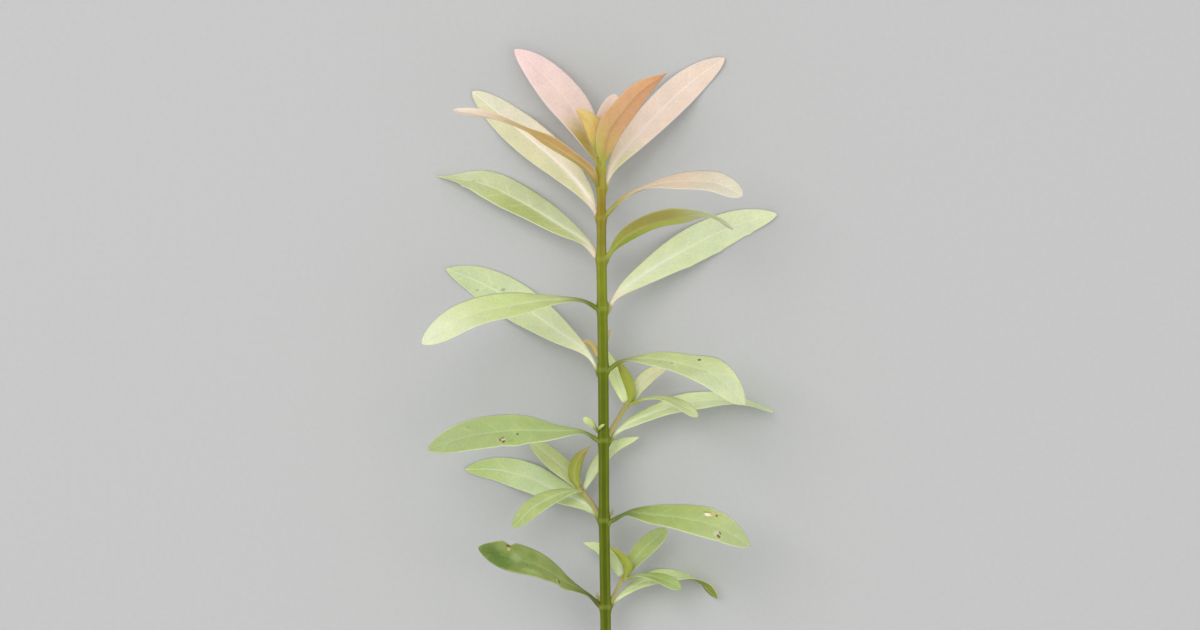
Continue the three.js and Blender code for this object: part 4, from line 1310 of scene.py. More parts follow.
@dataclass
class LeafPairs:
    """The nine pairs of full leaves, from the cut end to the tip."""

    leaves: tuple[Leaf, ...] = (
        Leaf(
            "leaf_1_left", 3.6, 0.64,
            ((0.0, -55.4, 8.6, 25), (-2.1, -53.1, 10.5, 38), (-8.0, -49.5, 15, 47),
             (-13.9, -45.7, 20, 55), (-20.8, -43.4, 23.5, 72), (-26.6, -41.6, 24, 80)),
            LeafFinish(
                "old leaf with dark patches", ("#79843a", "#919e5a", "#748640"),
                ("#8ea254", "#8a9c54", "#7c8e48"), "#5a641e", "#b4bf86", foot_reach=10.0,
                midrib_strength=0.15, rim="#c2cc9a", rim_strength=0.6, veins=0.15, mottle=0.1,
                marks=(
                    Mark(29.4, -1.5, 2.6, "#50701f", 0.66, 1.4, 0.95, -8),
                    Mark(31.8, 0.0, 2.0, "#506824", 0.64, 1.4, 0.95),
                    Mark(29.8, 1.7, 1.2, "#8a9a58", 0.5, 1.5, 0.9),
                    Mark(26.0, 0.2, 1.5, "#9fb078", 0.6, 1.2, 0.95),
                    Mark(21.9, 1.6, 1.3, "#73903c", 0.6, 1.5, 0.95),
                    Mark(22.0, -2.3, 0.9, "#a6bd6c", 0.6, 3.5, 0.9),
                    Mark(23.3, -0.9, 0.22, "#5a6f30", 0.7, 1.8),
                    Mark(28.5, 2.25, 0.42, "#7a4226", 0.85, 1.5),
                    Mark(28.2, 1.6, 0.4, "#cdb878", 0.7, 1.4),
                    Mark(13.9, -1.1, 0.24, "#4a3420", 0.85, 2.2, 0.5, 70),
                    Mark(14.5, -1.2, 0.22, "#cfc89c", 0.6, 2.0, 0.5, 70),
                ),
            ),
            stalk=0.04, seed=0.1,
            bites=(
                Bite(28.2, 0.65, 1.0, 1), Bite(30.6, -0.2, 1.4, 1), Bite(15.9, 0.6, 1.9, -1),
                Bite(14.4, 0.45, 0.5, -1),
            ),
        ),
        Leaf(
            "leaf_1_right", 3.4, 0.6,
            ((2.1, -55.2, 7.8, 35), (5.5, -52.3, 6.5, 30), (11.1, -49.7, 4.3, 28), (16.5, -49.0, 3.2, 17),
             (21.3, -49.9, 2.7, 3), (26.0, -53.9, 2.2, -35)),
            LeafFinish("lower leaf, right of pair 1", ("#d2dea0", "#dbe9a8", "#bcca86"),
                       ("#8c9a3c", "#8c9634", "#848e2e"), "#a9b27a", "#e2eac2",
                       midrib_strength=0.35, rim="#dfe6bc"),
            stalk=0.07, taper=0.7, seed=0.37,
        ),
        Leaf(
            "leaf_2_left", 3.4, 0.56,
            ((-0.2, -35.9, 8.8, 70), (-3.2, -33.0, 7.4, 70), (-10.1, -29.9, 3.6, 70),
             (-16.0, -27.2, 0.8, 72), (-23.0, -25.4, -1.2, 76), (-30.0, -25.3, 0.6, 76)),
            # Painted light and shade: the upper side is painted paler to offset the shade of the left shoot
            # above it, and the foot is painted darker for the shade on the stalk.
            LeafFinish("lower leaf, left of pair 2", ("#b4c284", "#d2e0ab", "#b3c47b"),
                       ("#b0c184", "#b0c184", "#a8ba7c"), "#949c52", "#e6ebcc", midrib_strength=0.5),
            stalk=0.03, taper=0.7, seed=0.62,
        ),
        Leaf(
            "leaf_2_right", 3.8, 0.62,
            ((2.1, -36.6, 9.7, 32), (6.0, -34.6, 13, 42), (11.8, -34.85, 18, 48), (18.4, -35.4, 22.5, 55),
             (25.6, -37.2, 25.5, 62), (32.5, -41.2, 26, 66)),
            LeafFinish(
                "lower leaf, right of pair 2", ("#84984a", "#aab96e", "#b0ba86"),
                ("#a6b874", "#a8ba76", "#acba7c"), "#6c7c36", "#ccd8a0", foot_reach=12.0,
                midrib_strength=0.25,
                marks=(
                    Mark(26.0, -2.0, 0.42, "#f3efcf", 0.9, 2.2, 0.5, -4),
                    Mark(27.0, -2.35, 0.42, "#c8b878", 0.8, 1.8),
                    Mark(25.7, -2.5, 0.2, "#a08a48", 0.8, 5.0, 0.6, -4),
                    Mark(27.9, -2.3, 0.3, "#7c6030", 0.85, 1.1),
                    Mark(29.6, 1.6, 0.75, "#cfcaa4", 0.65, 1.1),
                    Mark(30.2, 1.1, 0.2, "#7a5a44", 0.85, 2.6, 0.5, 28),
                    Mark(30.2, 1.9, 0.34, "#664834", 0.85, 1.7, 0.5, 20),
                ),
            ),
            stalk=0.05, seed=0.83,
            bites=(Bite(27.9, 0.3, 0.35, -1), Bite(30.6, 0.25, 0.4, 1), Bite(12.0, -0.3, 6.0, -1)),
        ),
        Leaf(
            "leaf_3_left", 4.05, 0.6,
            ((-0.3, -18.8, 10.4, 30), (-3.5, -16.9, 13, 33), (-11.1, -16.5, 17.5, 45),
             (-19.3, -16.3, 20.5, 59), (-28.5, -17.4, 22, 66), (-37.7, -20.3, 21.5, 70)),
            LeafFinish(
                "lower leaf, left of pair 3", ("#b2c280", "#a7b877", "#a0ad75"),
                ("#aabd7e", "#aabd7e", "#aabc80"), "#7c8a3c", "#c8d69c", foot_reach=9.0, midrib_strength=0.3,
                marks=(
                    Mark(25.6, -2.2, 0.7, "#bfb283", 0.6, 1.1),
                    Mark(24.5, -2.1, 0.35, "#d3bfa2", 0.85, 1.3),
                    Mark(24.7, -1.75, 0.18, "#6a4c38", 0.85, 2.6, 0.5, -12),
                    Mark(25.3, -2.2, 0.2, "#5e4030", 0.9, 2.4, 0.5, 78),
                    Mark(24.6, -2.75, 0.24, "#563a2a", 0.9, 2.0, 0.5, -28),
                    Mark(23.0, -2.6, 0.8, "#94ac54", 0.5, 1.4, 0.95),
                    Mark(21.2, -1.0, 0.32, "#46601e", 0.9),
                    Mark(31.5, 2.0, 0.35, "#8c9c60", 0.5),
                ),
            ),
            stalk=0.04, bites=(Bite(21.8, -0.35, 1.4, -1), Bite(25.2, 0.25, 0.4, -1)), seed=0.05,
        ),
        Leaf(
            "leaf_3_right", 4.0, 0.6,
            ((2.0, -18.4, 9.6, 42), (4.8, -15.9, 8.4, 37), (12.3, -12.6, 5.7, 31), (20.5, -10.5, 3.6, 26),
             (29.1, -10.1, 3.0, 20), (38.3, -12.5, 2.3, 8)),
            # Painted light: the upper side is painted paler than the blade is, to offset the shade that falls
            # on it.
            LeafFinish("lower leaf, right of pair 3", ("#c6d496", "#eaf6be", "#cddaa6"),
                       ("#b0c184", "#b0c184", "#acbe80"), "#a9b27a", "#eef2d0", midrib_strength=0.65),
            stalk=0.05, seed=0.29,
        ),
        Leaf(
            "leaf_4_left", 4.4, 0.6,
            ((-0.3, -3.4, 10.2, 75), (-2.9, 0.5, 8.8, 75), (-9.5, 5.4, 4.4, 77), (-17.1, 10.7, 0.5, 78),
             (-26.1, 15.9, -1.6, 78), (-34.4, 19.3, 0.6, 75)),
            LeafFinish(
                "middle leaf, left of pair 4", ("#e2e2bc", "#cad3a4", "#c2cea0"),
                ("#c4d09c", "#c0cf9a", "#c0ce9c"), "#c8cc98", "#ebf0d2", midrib_strength=0.45,
                marks=(
                    Mark(35.7, -1.9, 0.3, "#7c8858", 0.6, 2.0, 0.9, -35),
                    Mark(33.7, -0.9, 0.2, "#8a9868", 0.4, 2.2, 0.9, -35),
                    Mark(30.4, 1.0, 0.36, "#6f7f58", 0.65, 1.9, 0.9, -35),
                    Mark(32.4, 0.6, 0.25, "#a9b98c", 0.4, 3.0, 0.9, -10),
                ),
            ),
            stalk=0.05, taper=0.8, seed=0.51,
        ),
        Leaf(
            "leaf_4_right", 4.0, 0.64,
            ((1.9, -3.0, 11.2, 25), (4.7, -1.1, 13.5, 32), (11.3, -0.7, 19, 34), (18.1, -1.9, 24, 39),
             (25.0, -4.4, 28.5, 52), (31.3, -10.4, 30, 65)),
            LeafFinish(
                "middle leaf, right of pair 4", ("#b4c27a", "#c6d096", "#cbd1a8"),
                ("#b4c286", "#b8c68a", "#c0cd98"), "#7e8a36", "#dfe8bc", foot_reach=11.0,
                midrib_strength=0.25,
                marks=(
                    Mark(23.8, -2.5, 0.36, "#4e5038", 0.85, 1.5, 0.6),
                    Mark(18.5, 0.5, 0.32, "#7f8c56", 0.65),
                    Mark(15.6, 1.1, 0.38, "#8d9b62", 0.55, 1.6, 0.9),
                    Mark(27.2, 0.0, 0.5, "#a9b888", 0.4, 1.4, 0.9),
                ),
            ),
            stalk=0.04, bites=(Bite(26.0, -0.35, 4.5, -1),), seed=0.74,
        ),
        Leaf(
            "leaf_5_left", 4.2, 0.62,
            ((-0.3, 10.1, 11.8, 26), (-3.3, 11.9, 14, 28), (-10.0, 12.2, 18.5, 32),
             (-18.6, 11.1, 23.5, 41), (-29.1, 8.6, 28, 51), (-38.7, 2.8, 29, 70)),
            LeafFinish("middle leaf, left of pair 5", ("#bac680", "#c9d592", "#d8dcbb"),
                       ("#bcc88c", "#c2cd96", "#c8d3a2"), "#707c20", "#e4eac4",
                       foot_reach=12.0, midrib_strength=0.3),
            stalk=0.04, seed=0.93,
        ),
        Leaf(
            "leaf_5_right", 4.1, 0.58,
            ((1.7, 10.8, 10.8, 72), (4.15, 13.85, 9.6, 72), (11.7, 19.3, 5, 75), (20.7, 24.5, 0.8, 77),
             (30.0, 28.9, -1.6, 77), (39.2, 31.4, 0.6, 75)),
            LeafFinish("middle leaf, right of pair 5", ("#dcdfb4", "#d4ddb0", "#d9e0b8"),
                       ("#c8d3a0", "#c8d3a2", "#ccd6a8"), "#e8dcc0", "#eff1dc",
                       foot_reach=7.0, midrib_strength=0.42, veins=0.3, root="#a6a662"),
            stalk=0.03, taper=0.7, seed=0.17,
            bites=(
                Bite(39.2, -0.22, 0.8, 1), Bite(22.0, -0.2, 1.6, 1), Bite(30.0, -0.15, 1.2, 1),
                Bite(14.0, 0.3, 8.0, -1),
            ),
        ),
        Leaf(
            "leaf_6_left", 4.1, 0.6,
            ((-0.3, 21.2, 11.3, 60), (-3.1, 24.9, 9.6, 58), (-8.4, 28.4, 6.2, 55), (-17.5, 34.0, 2.7, 55),
             (-26.0, 38.0, 1.2, 47), (-36.3, 39.8, 0.6, 15)),
            LeafFinish("young green leaf, left of pair 6", ("#bcbe8c", "#afb874", "#cdd4a0"),
                       ("#c4c890", "#c0c78e", "#c4cc96"), "#e6d6be", "#e9eacc",
                       foot_reach=7.0, midrib_strength=0.5, half="#c4c8a2", half_strength=0.75, half_side=1,
                       root="#a8a468", marks=(Mark(35.4, 0.1, 0.4, "#a3ac78", 0.5, 1.7, 0.9, -20),)),
            stalk=0.05, taper=0.72, seed=0.42,
            bites=(Bite(37.2, -0.4, 0.5, -1), Bite(3.0, -0.35, 2.5, 1), Bite(3.0, -0.35, 2.5, -1)),
        ),
        Leaf(
            "leaf_6_right", 3.65, 0.58,
            ((1.2, 21.4, 12.2, -44), (3.9, 24.8, 14.5, -40), (8.9, 28.1, 19, -35),
             (15.5, 30.0, 25.5, -26), (23.2, 30.4, 31, -18), (28.7, 27.6, 33.5, -28)),
            LeafFinish("olive leaf showing its underside", ("#b8bc84", "#c4c69c", "#c8cbaa"),
                       ("#8a9834", "#b6ba4c", "#c9ccac"), "#98a43c", "#b8b468", midrib_strength=0.3,
                       rim="#c2bc80", rim_strength=0.5, half="#a29052", half_strength=0.75, half_side=1,
                       half_start=0.32, half_reach=0.72, yellowing=0.1, streaks=0.5, root="#8f963c"),
            stalk=0.04, seed=0.68,
        ),
        Leaf(
            "leaf_7_left", 4.1, 0.58,
            ((-0.5, 30.5, 11.6, 75), (-3.1, 35.6, 9.6, 78), (-8.6, 41.9, 6, 80), (-15.2, 47.7, 2.4, 80),
             (-21.8, 53.2, -0.8, 80), (-28.5, 58.7, 0.5, 78)),
            LeafFinish("cream leaf, left of pair 7", ("#cfc8a0", "#e6d9bf", "#d9d6be"),
                       ("#dccca8", "#dfd1ae", "#dfd8b8"), "#e2ceb8", "#fbefe0", foot_reach=6.0,
                       midrib_strength=0.7, half="#d2cf9e", half_strength=0.7, half_side=-1, rim="#f3f0dc",
                       yellowing=0.1, streaks=0.3, root="#a39f58"),
            stalk=0.03, seed=0.88,
        ),
        Leaf(
            "leaf_7_right", 3.9, 0.64,
            ((1.2, 31.0, 12.5, 40), (4.7, 34.3, 15.5, 36), (10.8, 37.1, 20.5, 28),
             (18.1, 37.9, 25.5, 32), (25.0, 37.5, 29, 46), (30.7, 34.8, 30.5, 60)),
            LeafFinish("peach leaf, right of pair 7", ("#d4b688", "#e3ccb2", "#d8d1bd"),
                       ("#a8a456", "#b8a468", "#e0ccb0"), "#aaa452", "#f6e8d6", foot_reach=11.0,
                       midrib_strength=0.4, rim="#f6efe0", yellowing=0.15, streaks=0.35, root="#908f3c"),
            stalk=0.04, taper=0.6, seed=0.21,
        ),
        Leaf(
            "leaf_8_left", 2.8, 0.56,
            ((-0.3, 36.7, 12.5, -36), (-2.1, 40.4, 14.6, -36), (-7.2, 44.2, 18.8, -34),
             (-15.1, 48.8, 22.5, -3), (-23.6, 52.0, 25, -12), (-32.1, 53.5, 26.5, -32)),
            # Painted light: both faces are painted paler towards the far end, which is turned away from the
            # key light.
            LeafFinish("golden leaf seen on its edge", ("#d0b47c", "#ecd0a8", "#f2dccc"),
                       ("#a89a3a", "#d6b26c", "#f6e2d4"), "#8c8228", "#d0b088", foot_reach=5.0,
                       midrib_strength=0.4, rim="#e6c8aa", half="#c0945f", half_strength=0.65, half_side=-1,
                       half_reach=0.5, yellowing=0.1, streaks=0.3, root="#a0943e"),
            stalk=0.03, taper=0.55, bites=(Bite(13.0, 0.8, 6.0, 1), Bite(13.0, 0.7, 6.0, -1)), seed=0.56,
        ),
        Leaf(
            "leaf_8_right", 3.75, 0.6,
            ((0.9, 37.0, 11.7, 72), (2.75, 41.7, 9.8, 76), (7.9, 48.4, 6.6, 80), (14.3, 55.3, 3.2, 80),
             (20.9, 61.4, -0.4, 80), (27.6, 66.1, 0.6, 78)),
            # Painted light: the base and the olive half near it are painted paler to offset the shade that
            # leaf_9_right casts there. The olive of that half is the leaf's own.
            LeafFinish("peach leaf, right of pair 8", ("#f6e8cc", "#ead2c2", "#e4cebd"),
                       ("#dcc8a4", "#e0cab4", "#e4d0bc"), "#d8cc86", "#f8e8dc", midrib_strength=0.6,
                       rim="#f9eee4", half="#ccd084", half_strength=0.8, half_side=1, half_reach=0.26,
                       yellowing=0.0, streaks=0.15, root="#b0a85a"),
            stalk=0.04, taper=0.64, bites=(Bite(12.0, -0.45, 6.0, -1),), seed=0.78,
        ),
        Leaf(
            "leaf_9_left", 4.2, 0.54,
            ((-0.3, 40.9, 12, 65), (-1.7, 46.0, 10.4, 70), (-4.9, 52.7, 8, 75), (-8.9, 57.9, 6, 78),
             (-13.7, 63.2, 4.4, 78), (-19.1, 67.9, 3.4, 75)),
            # Painted shade: the olive half near the base is the leaf's own green base, painted darker for the
            # shade of the blade above it.
            LeafFinish("pink leaf, left of pair 9", ("#e4cdaa", "#e3c9c0", "#ebccca"),
                       ("#d8bc94", "#e4c4b4", "#e8c8bc"), "#b8ae58", "#f2d8ca", foot_reach=7.0,
                       midrib_strength=0.3, rim="#f9ece8", half="#a28c34", half_strength=0.95, half_side=-1,
                       half_reach=0.38, yellowing=0.0, streaks=0.12, root="#a8a03e"),
            stalk=0.04, taper=0.76, seed=0.99,
        ),
        Leaf(
            "leaf_9_right", 3.0, 0.46,
            ((0.5, 41.3, 12.6, -75), (0.8, 44.8, 14.4, -70), (2.0, 49.4, 16.8, -62),
             (5.0, 53.6, 19.2, -58), (8.7, 57.8, 21.2, -58), (14.5, 61.8, 22.4, -58)),
            LeafFinish("orange leaf showing its underside", ("#d8b070", "#dca87c", "#dca87c"),
                       ("#bab356", "#d4a67a", "#d29b72"), "#a4aa44", "#b08a54",
                       foot_reach=5.0, midrib_strength=0.35, rim="#ecc8a8", veins=0.25, half="#d09a74",
                       half_strength=0.5, half_side=-1, yellowing=0.1, streaks=0.2, root="#a8a840"),
            stalk=0.03, taper=0.9, seed=0.33,
        ),
    )

    def build(self, sweep: LeafSweep) -> list[bpy.types.Object]:
        """Builds every leaf of the nine pairs."""
        return [leaf.build(sweep) for leaf in self.leaves]


def young_leaf(
    name: str,
    half_width: float,
    widest: float,
    midrib: tuple[FacedPoint, ...],
    finish: LeafFinish,
    seed: float,
    stalk: float = 0.02,
    taper: float = 0.66,
) -> Leaf:
    """Describes a young leaf.

    Args:
        name: The solid that it stands for.
        half_width: Half its greatest width.
        widest: The share of its length where it is widest.
        midrib: The points of its midrib.
        finish: What it is dressed in.
        seed: Where its waves start.
        stalk: The share of its length with hardly any blade.
        taper: The shape of its tip, 1 drawn to a point and 0.5 round.

    Returns:
        The leaf.
    """
    return Leaf(
        name, half_width, widest, midrib, finish, stalk, Growth.YOUNG, vein_pairs=5.0, seed=seed, taper=taper
    )


# The stem of a side shoot looks dull and pinkish, as it grew in the shade.
SHOOT_TISSUE = StemTissue(
    "pinkish brown shoot tissue",
    # The groove's colours are painted shade, a little darker than the ridge's.
    groove=((0.0, "#a0975c"), (0.5, "#a69b62"), (1.0, "#a0a052")),
    ridge=((0.0, "#b0a66c"), (0.5, "#b2a66e"), (1.0, "#aaaa5c")),
)
# A bud is round, so its skin is the same colour all round, from green at its foot to pink or gold.
PINK_STOPS = ((0.0, "#94904c"), (0.5, "#a39a68"), (1.0, "#b0a280"))
GOLD_STOPS = ((0.0, "#a8ac44"), (0.5, "#b4ac4c"), (1.0, "#c8b060"))
PINK_BUD = StemTissue("pink bud skin", groove=PINK_STOPS, ridge=PINK_STOPS)
GOLD_BUD = StemTissue("yellow-green bud skin", groove=GOLD_STOPS, ridge=GOLD_STOPS)
# Young leaves are thin, so they are pale where light falls on them and olive where they show their
# lower side or stand in the shade. Their feet are a brownish green, as the shoot's stem is.
# Painted light: the upper side is painted paler to offset the shade on the shoot leaves that lie low under
# the others.
PALE_SHOOT_LEAF = LeafFinish(
    "pale shoot leaf", ("#d4e0a6", "#dce8ae", "#d6e2ac"), ("#b8c68c", "#bac88e", "#bac88e"),
    "#b0b074", "#e6ebc8", foot_reach=1.6, rim="#e2ebc8", midrib_strength=0.5, root="#b0a870",
)
# Painted light: high_shoot_leaf_1's upper side is painted paler still, to offset the shade that leaf_4_right
# casts on it.
LIGHTENED_SHADED_SHOOT_LEAF = replace(
    PALE_SHOOT_LEAF, name="pale shoot leaf in the shade of a leaf", upper=("#e6f2b0", "#eefab8", "#e8f4b6")
)
CREAM_SHOOT_LEAF = LeafFinish(
    "cream shoot leaf", ("#ccce9c", "#d8d8ac", "#d9d3b0"), ("#b8bc88", "#c4c69c", "#ccc4a8"),
    "#b0b074", "#e6e6cc", foot_reach=1.6, rim="#e8e4d0", midrib_strength=0.35, root="#b0a870",
)
STALKED_SHOOT_LEAF = LeafFinish(
    "long-stalked shoot leaf", ("#a4ae4c", "#b5be88", "#cad4a0"), ("#a0aa4a", "#acb678", "#b4c088"),
    "#9da648", "#d4dcac", foot_reach=6.0, midrib_strength=0.3, root="#a6a45c",
)
STREAKED_SHOOT_LEAF = LeafFinish(
    "green shoot leaf with a cream midrib", ("#bec888", "#c2ca8e", "#c0ca8c"),
    ("#b0bd80", "#b4c082", "#b4c082"), "#b0aa70", "#dedcb6", foot_reach=1.6, midrib_strength=0.4,
    veins=0.2, root="#b0a870",
)
GREEN_SHOOT_LEAF = LeafFinish(
    "green shoot leaf", ("#a4b26e", "#a9b675", "#aab678"), ("#a8b678", "#acba7c", "#acba7c"),
    "#a4a664", "#d4deae", foot_reach=1.6, midrib_strength=0.3, root="#aaa468",
)
DARK_SHOOT_LEAF = LeafFinish(
    "darker green shoot leaf", ("#94a25a", "#9fad65", "#a9b778"), ("#94a460", "#98a866", "#9cac6c"),
    "#a0a060", "#bcca94", foot_reach=1.6, midrib_strength=0.3, root="#aaa468",
)
HANGING_SHOOT_LEAF = LeafFinish(
    "green shoot leaf on a darker stalk", ("#8a9846", "#93a55b", "#a6b874"),
    ("#8c9a48", "#98a85c", "#a4b26c"), "#8c9a44", "#c8d4a0", foot_reach=4.5, midrib_strength=0.25,
    root="#a6a45c",
)
CLUB_BUD_LEAF = LeafFinish(
    "club-shaped bud leaf", ("#949c50", "#b8c282", "#ccd8a0"), ("#90984a", "#b0ba7a", "#c0ca90"),
    "#828a3a", "#dce4bc", foot_reach=2.6, midrib_strength=0.3, rim="#dae4bc",
)
BUD_LEAF = LeafFinish(
    "green bud leaf", ("#a8b45c", "#b0bc68", "#b8c272"), ("#a0ac54", "#a8b460", "#b0ba68"),
    "#9ca650", "#c4cc88", foot_reach=0.8, midrib_strength=0.2, rim="#ccd69c",
)
OLIVE_SHOOT_LEAF = LeafFinish(
    "olive shoot leaf showing its underside", ("#a4aa50", "#a4aa50", "#a6aa54"),
    ("#939e36", "#9aa03c", "#a2a04a"), "#98a242", "#b2b45c", foot_reach=1.6, rim="#babc74",
    midrib_strength=0.2, veins=0.08, root="#a0a050",
)
BROWNING_SHOOT_LEAF = LeafFinish(
    "olive shoot leaf turning brown at its tip", ("#989e44", "#a0a24a", "#b49a60"),
    ("#8a9436", "#959a3c", "#ae985c"), "#929a40", "#bcb468", foot_reach=1.6, rim="#bcb078",
    midrib_strength=0.35, veins=0.08, root="#a0a050",
)


@dataclass
class SideShoot:
    """A side shoot: its thin stem and its leaves."""

    stem: Rod
    leaves: tuple[Leaf, ...]

    def build(self, rods: RodSweep, blades: LeafSweep) -> list[bpy.types.Object]:
        """Builds the shoot's stem, then its leaves."""
        return [self.stem.build(rods)] + [leaf.build(blades) for leaf in self.leaves]


@dataclass
class SideShoots:
    """The three side shoots: the high one on the right, the left one and the low one on the right."""

    shoots: tuple[SideShoot, ...] = (
        SideShoot(
            Rod(
                "high_shoot_stem",
                ((1.9, -17.3, 9.9), (3.6, -14.4, 9.4), (5.2, -11.7, 8.6), (6.5, -10.0, 8.0)),
                (0.6, 0.55, 0.55, 0.58), SHOOT_TISSUE, seed=0.2,
            ),
            (
                young_leaf("high_shoot_leaf_1", 1.55, 0.5,
                           ((5.9, -11.1, 7.6, 70), (4.4, -7.2, 6.4, 72), (2.4, -2.5, 5.4, 75),
                            (1.2, 1.3, 5.2, 75)),
                           LIGHTENED_SHADED_SHOOT_LEAF, 0.11),
                young_leaf("high_shoot_leaf_2", 1.15, 0.48,
                           ((6.4, -10.6, 8.4, -65), (6.8, -8.4, 9.0, -65), (5.9, -5.2, 9.8, -65),
                            (3.65, -0.8, 10.4, -60)),
                           OLIVE_SHOOT_LEAF, 0.32),
                young_leaf("high_shoot_leaf_3", 1.65, 0.5,
                           ((6.8, -10.2, 8, 70), (8.45, -6.8, 7.2, 72), (11.2, -4.1, 6.4, 75),
                            (14.9, -2.3, 6, 75)),
                           CREAM_SHOOT_LEAF, 0.53),
                young_leaf("high_shoot_leaf_4", 1.4, 0.7,
                           ((6.6, -10.7, 8.6, 30), (8.9, -9.7, 9.6, 30), (12.0, -9.2, 10.4, 32),
                            (15.3, -9.7, 10.8, 42), (18.6, -11.4, 10.8, 52), (21.5, -13.3, 10.2, 58)),
                           STALKED_SHOOT_LEAF, 0.74, stalk=0.18, taper=0.5),
            ),
        ),
        SideShoot(
            Rod(
                "left_shoot_stem",
                ((-0.4, -34.8, 8.9), (-2.2, -32.2, 8.6), (-3.6, -30.5, 8.2), (-4.9, -29.2, 7.9)),
                (0.6, 0.55, 0.55, 0.58), SHOOT_TISSUE, seed=0.4,
            ),
            (
                young_leaf("left_shoot_leaf_1", 2.2, 0.54,
                           ((-4.4, -29.5, 7.4, 70), (-6.6, -26.5, 6.2, 72), (-10.5, -23.0, 5.6, 74),
                            (-15.4, -18.9, 5.0, 74)),
                           STREAKED_SHOOT_LEAF, 0.15, taper=0.5),
                young_leaf("left_shoot_leaf_2", 2.15, 0.6,
                           ((-4.5, -29.7, 8.6, 35), (-7.6, -30.1, 9.8, 42), (-11.7, -31.6, 11.2, 58),
                            (-15.5, -33.9, 12, 68), (-19.3, -37.8, 12, 72)),
                           GREEN_SHOOT_LEAF, 0.36, taper=0.55),
                young_leaf("left_shoot_leaf_3", 1.45, 0.42,
                           ((-4.7, -29.4, 8.6, -65), (-5.8, -26.6, 9.2, -65), (-5.4, -23.9, 9.8, -65),
                            (-4.15, -21.7, 10.2, -60), (-2.1, -19.7, 10.5, -60)),
                           BROWNING_SHOOT_LEAF, 0.57, taper=1.2),
                young_leaf("left_shoot_leaf_4", 1.4, 0.55,
                           ((-4.0, -30.3, 7.4, 65), (-2.8, -27.8, 6.2, 70), (-0.8, -24.1, 5.4, 74),
                            (2.95, -20.2, 5.2, 76), (8.5, -18.0, 5.4, 76)),
                           PALE_SHOOT_LEAF, 0.78, taper=0.7),
            ),
        ),
        SideShoot(
            Rod(
                "low_shoot_stem",
                ((1.9, -54.8, 8.1), (3.3, -52.3, 7.8), (4.4, -50.1, 7.4), (5.5, -48.7, 7.1)),
                (0.5, 0.43, 0.43, 0.48), SHOOT_TISSUE, seed=0.6,
            ),
            (
                young_leaf("low_shoot_leaf_1", 1.5, 0.45,
                           ((5.0, -49.6, 6.4, 70), (3.0, -45.6, 5, 74), (-0.1, -42.7, 4.4, 76),
                            (-3.8, -41.4, 4.6, 76)),
                           PALE_SHOOT_LEAF, 0.19, taper=0.9),
                young_leaf("low_shoot_leaf_2", 1.05, 0.45,
                           ((5.5, -48.9, 7.8, -65), (6.1, -46.5, 8.8, -60), (4.4, -44.0, 9.8, -45),
                            (2.2, -42.1, 10.7, -35)),
                           OLIVE_SHOOT_LEAF, 0.41),
                young_leaf("low_shoot_leaf_3", 2.15, 0.58,
                           ((5.6, -48.7, 7, 70), (7.3, -45.3, 6.6, 74), (10.3, -42.0, 6.2, 76),
                            (14.7, -38.3, 6, 76)),
                           DARK_SHOOT_LEAF, 0.63, taper=0.52),
                young_leaf("low_shoot_leaf_4", 1.55, 0.7,
                           ((5.4, -49.3, 7.6, 40), (8.7, -48.4, 8.6, 42), (12.0, -48.8, 9.2, 50),
                            (14.9, -49.8, 9.2, 55), (17.8, -51.3, 8.8, 60)),
                           HANGING_SHOOT_LEAF, 0.85, stalk=0.18, taper=0.5),
            ),
        ),
    )

    def build(self, rods: RodSweep, blades: LeafSweep) -> list[bpy.types.Object]:
        """Builds the three shoots."""
        return [piece for shoot in self.shoots for piece in shoot.build(rods, blades)]


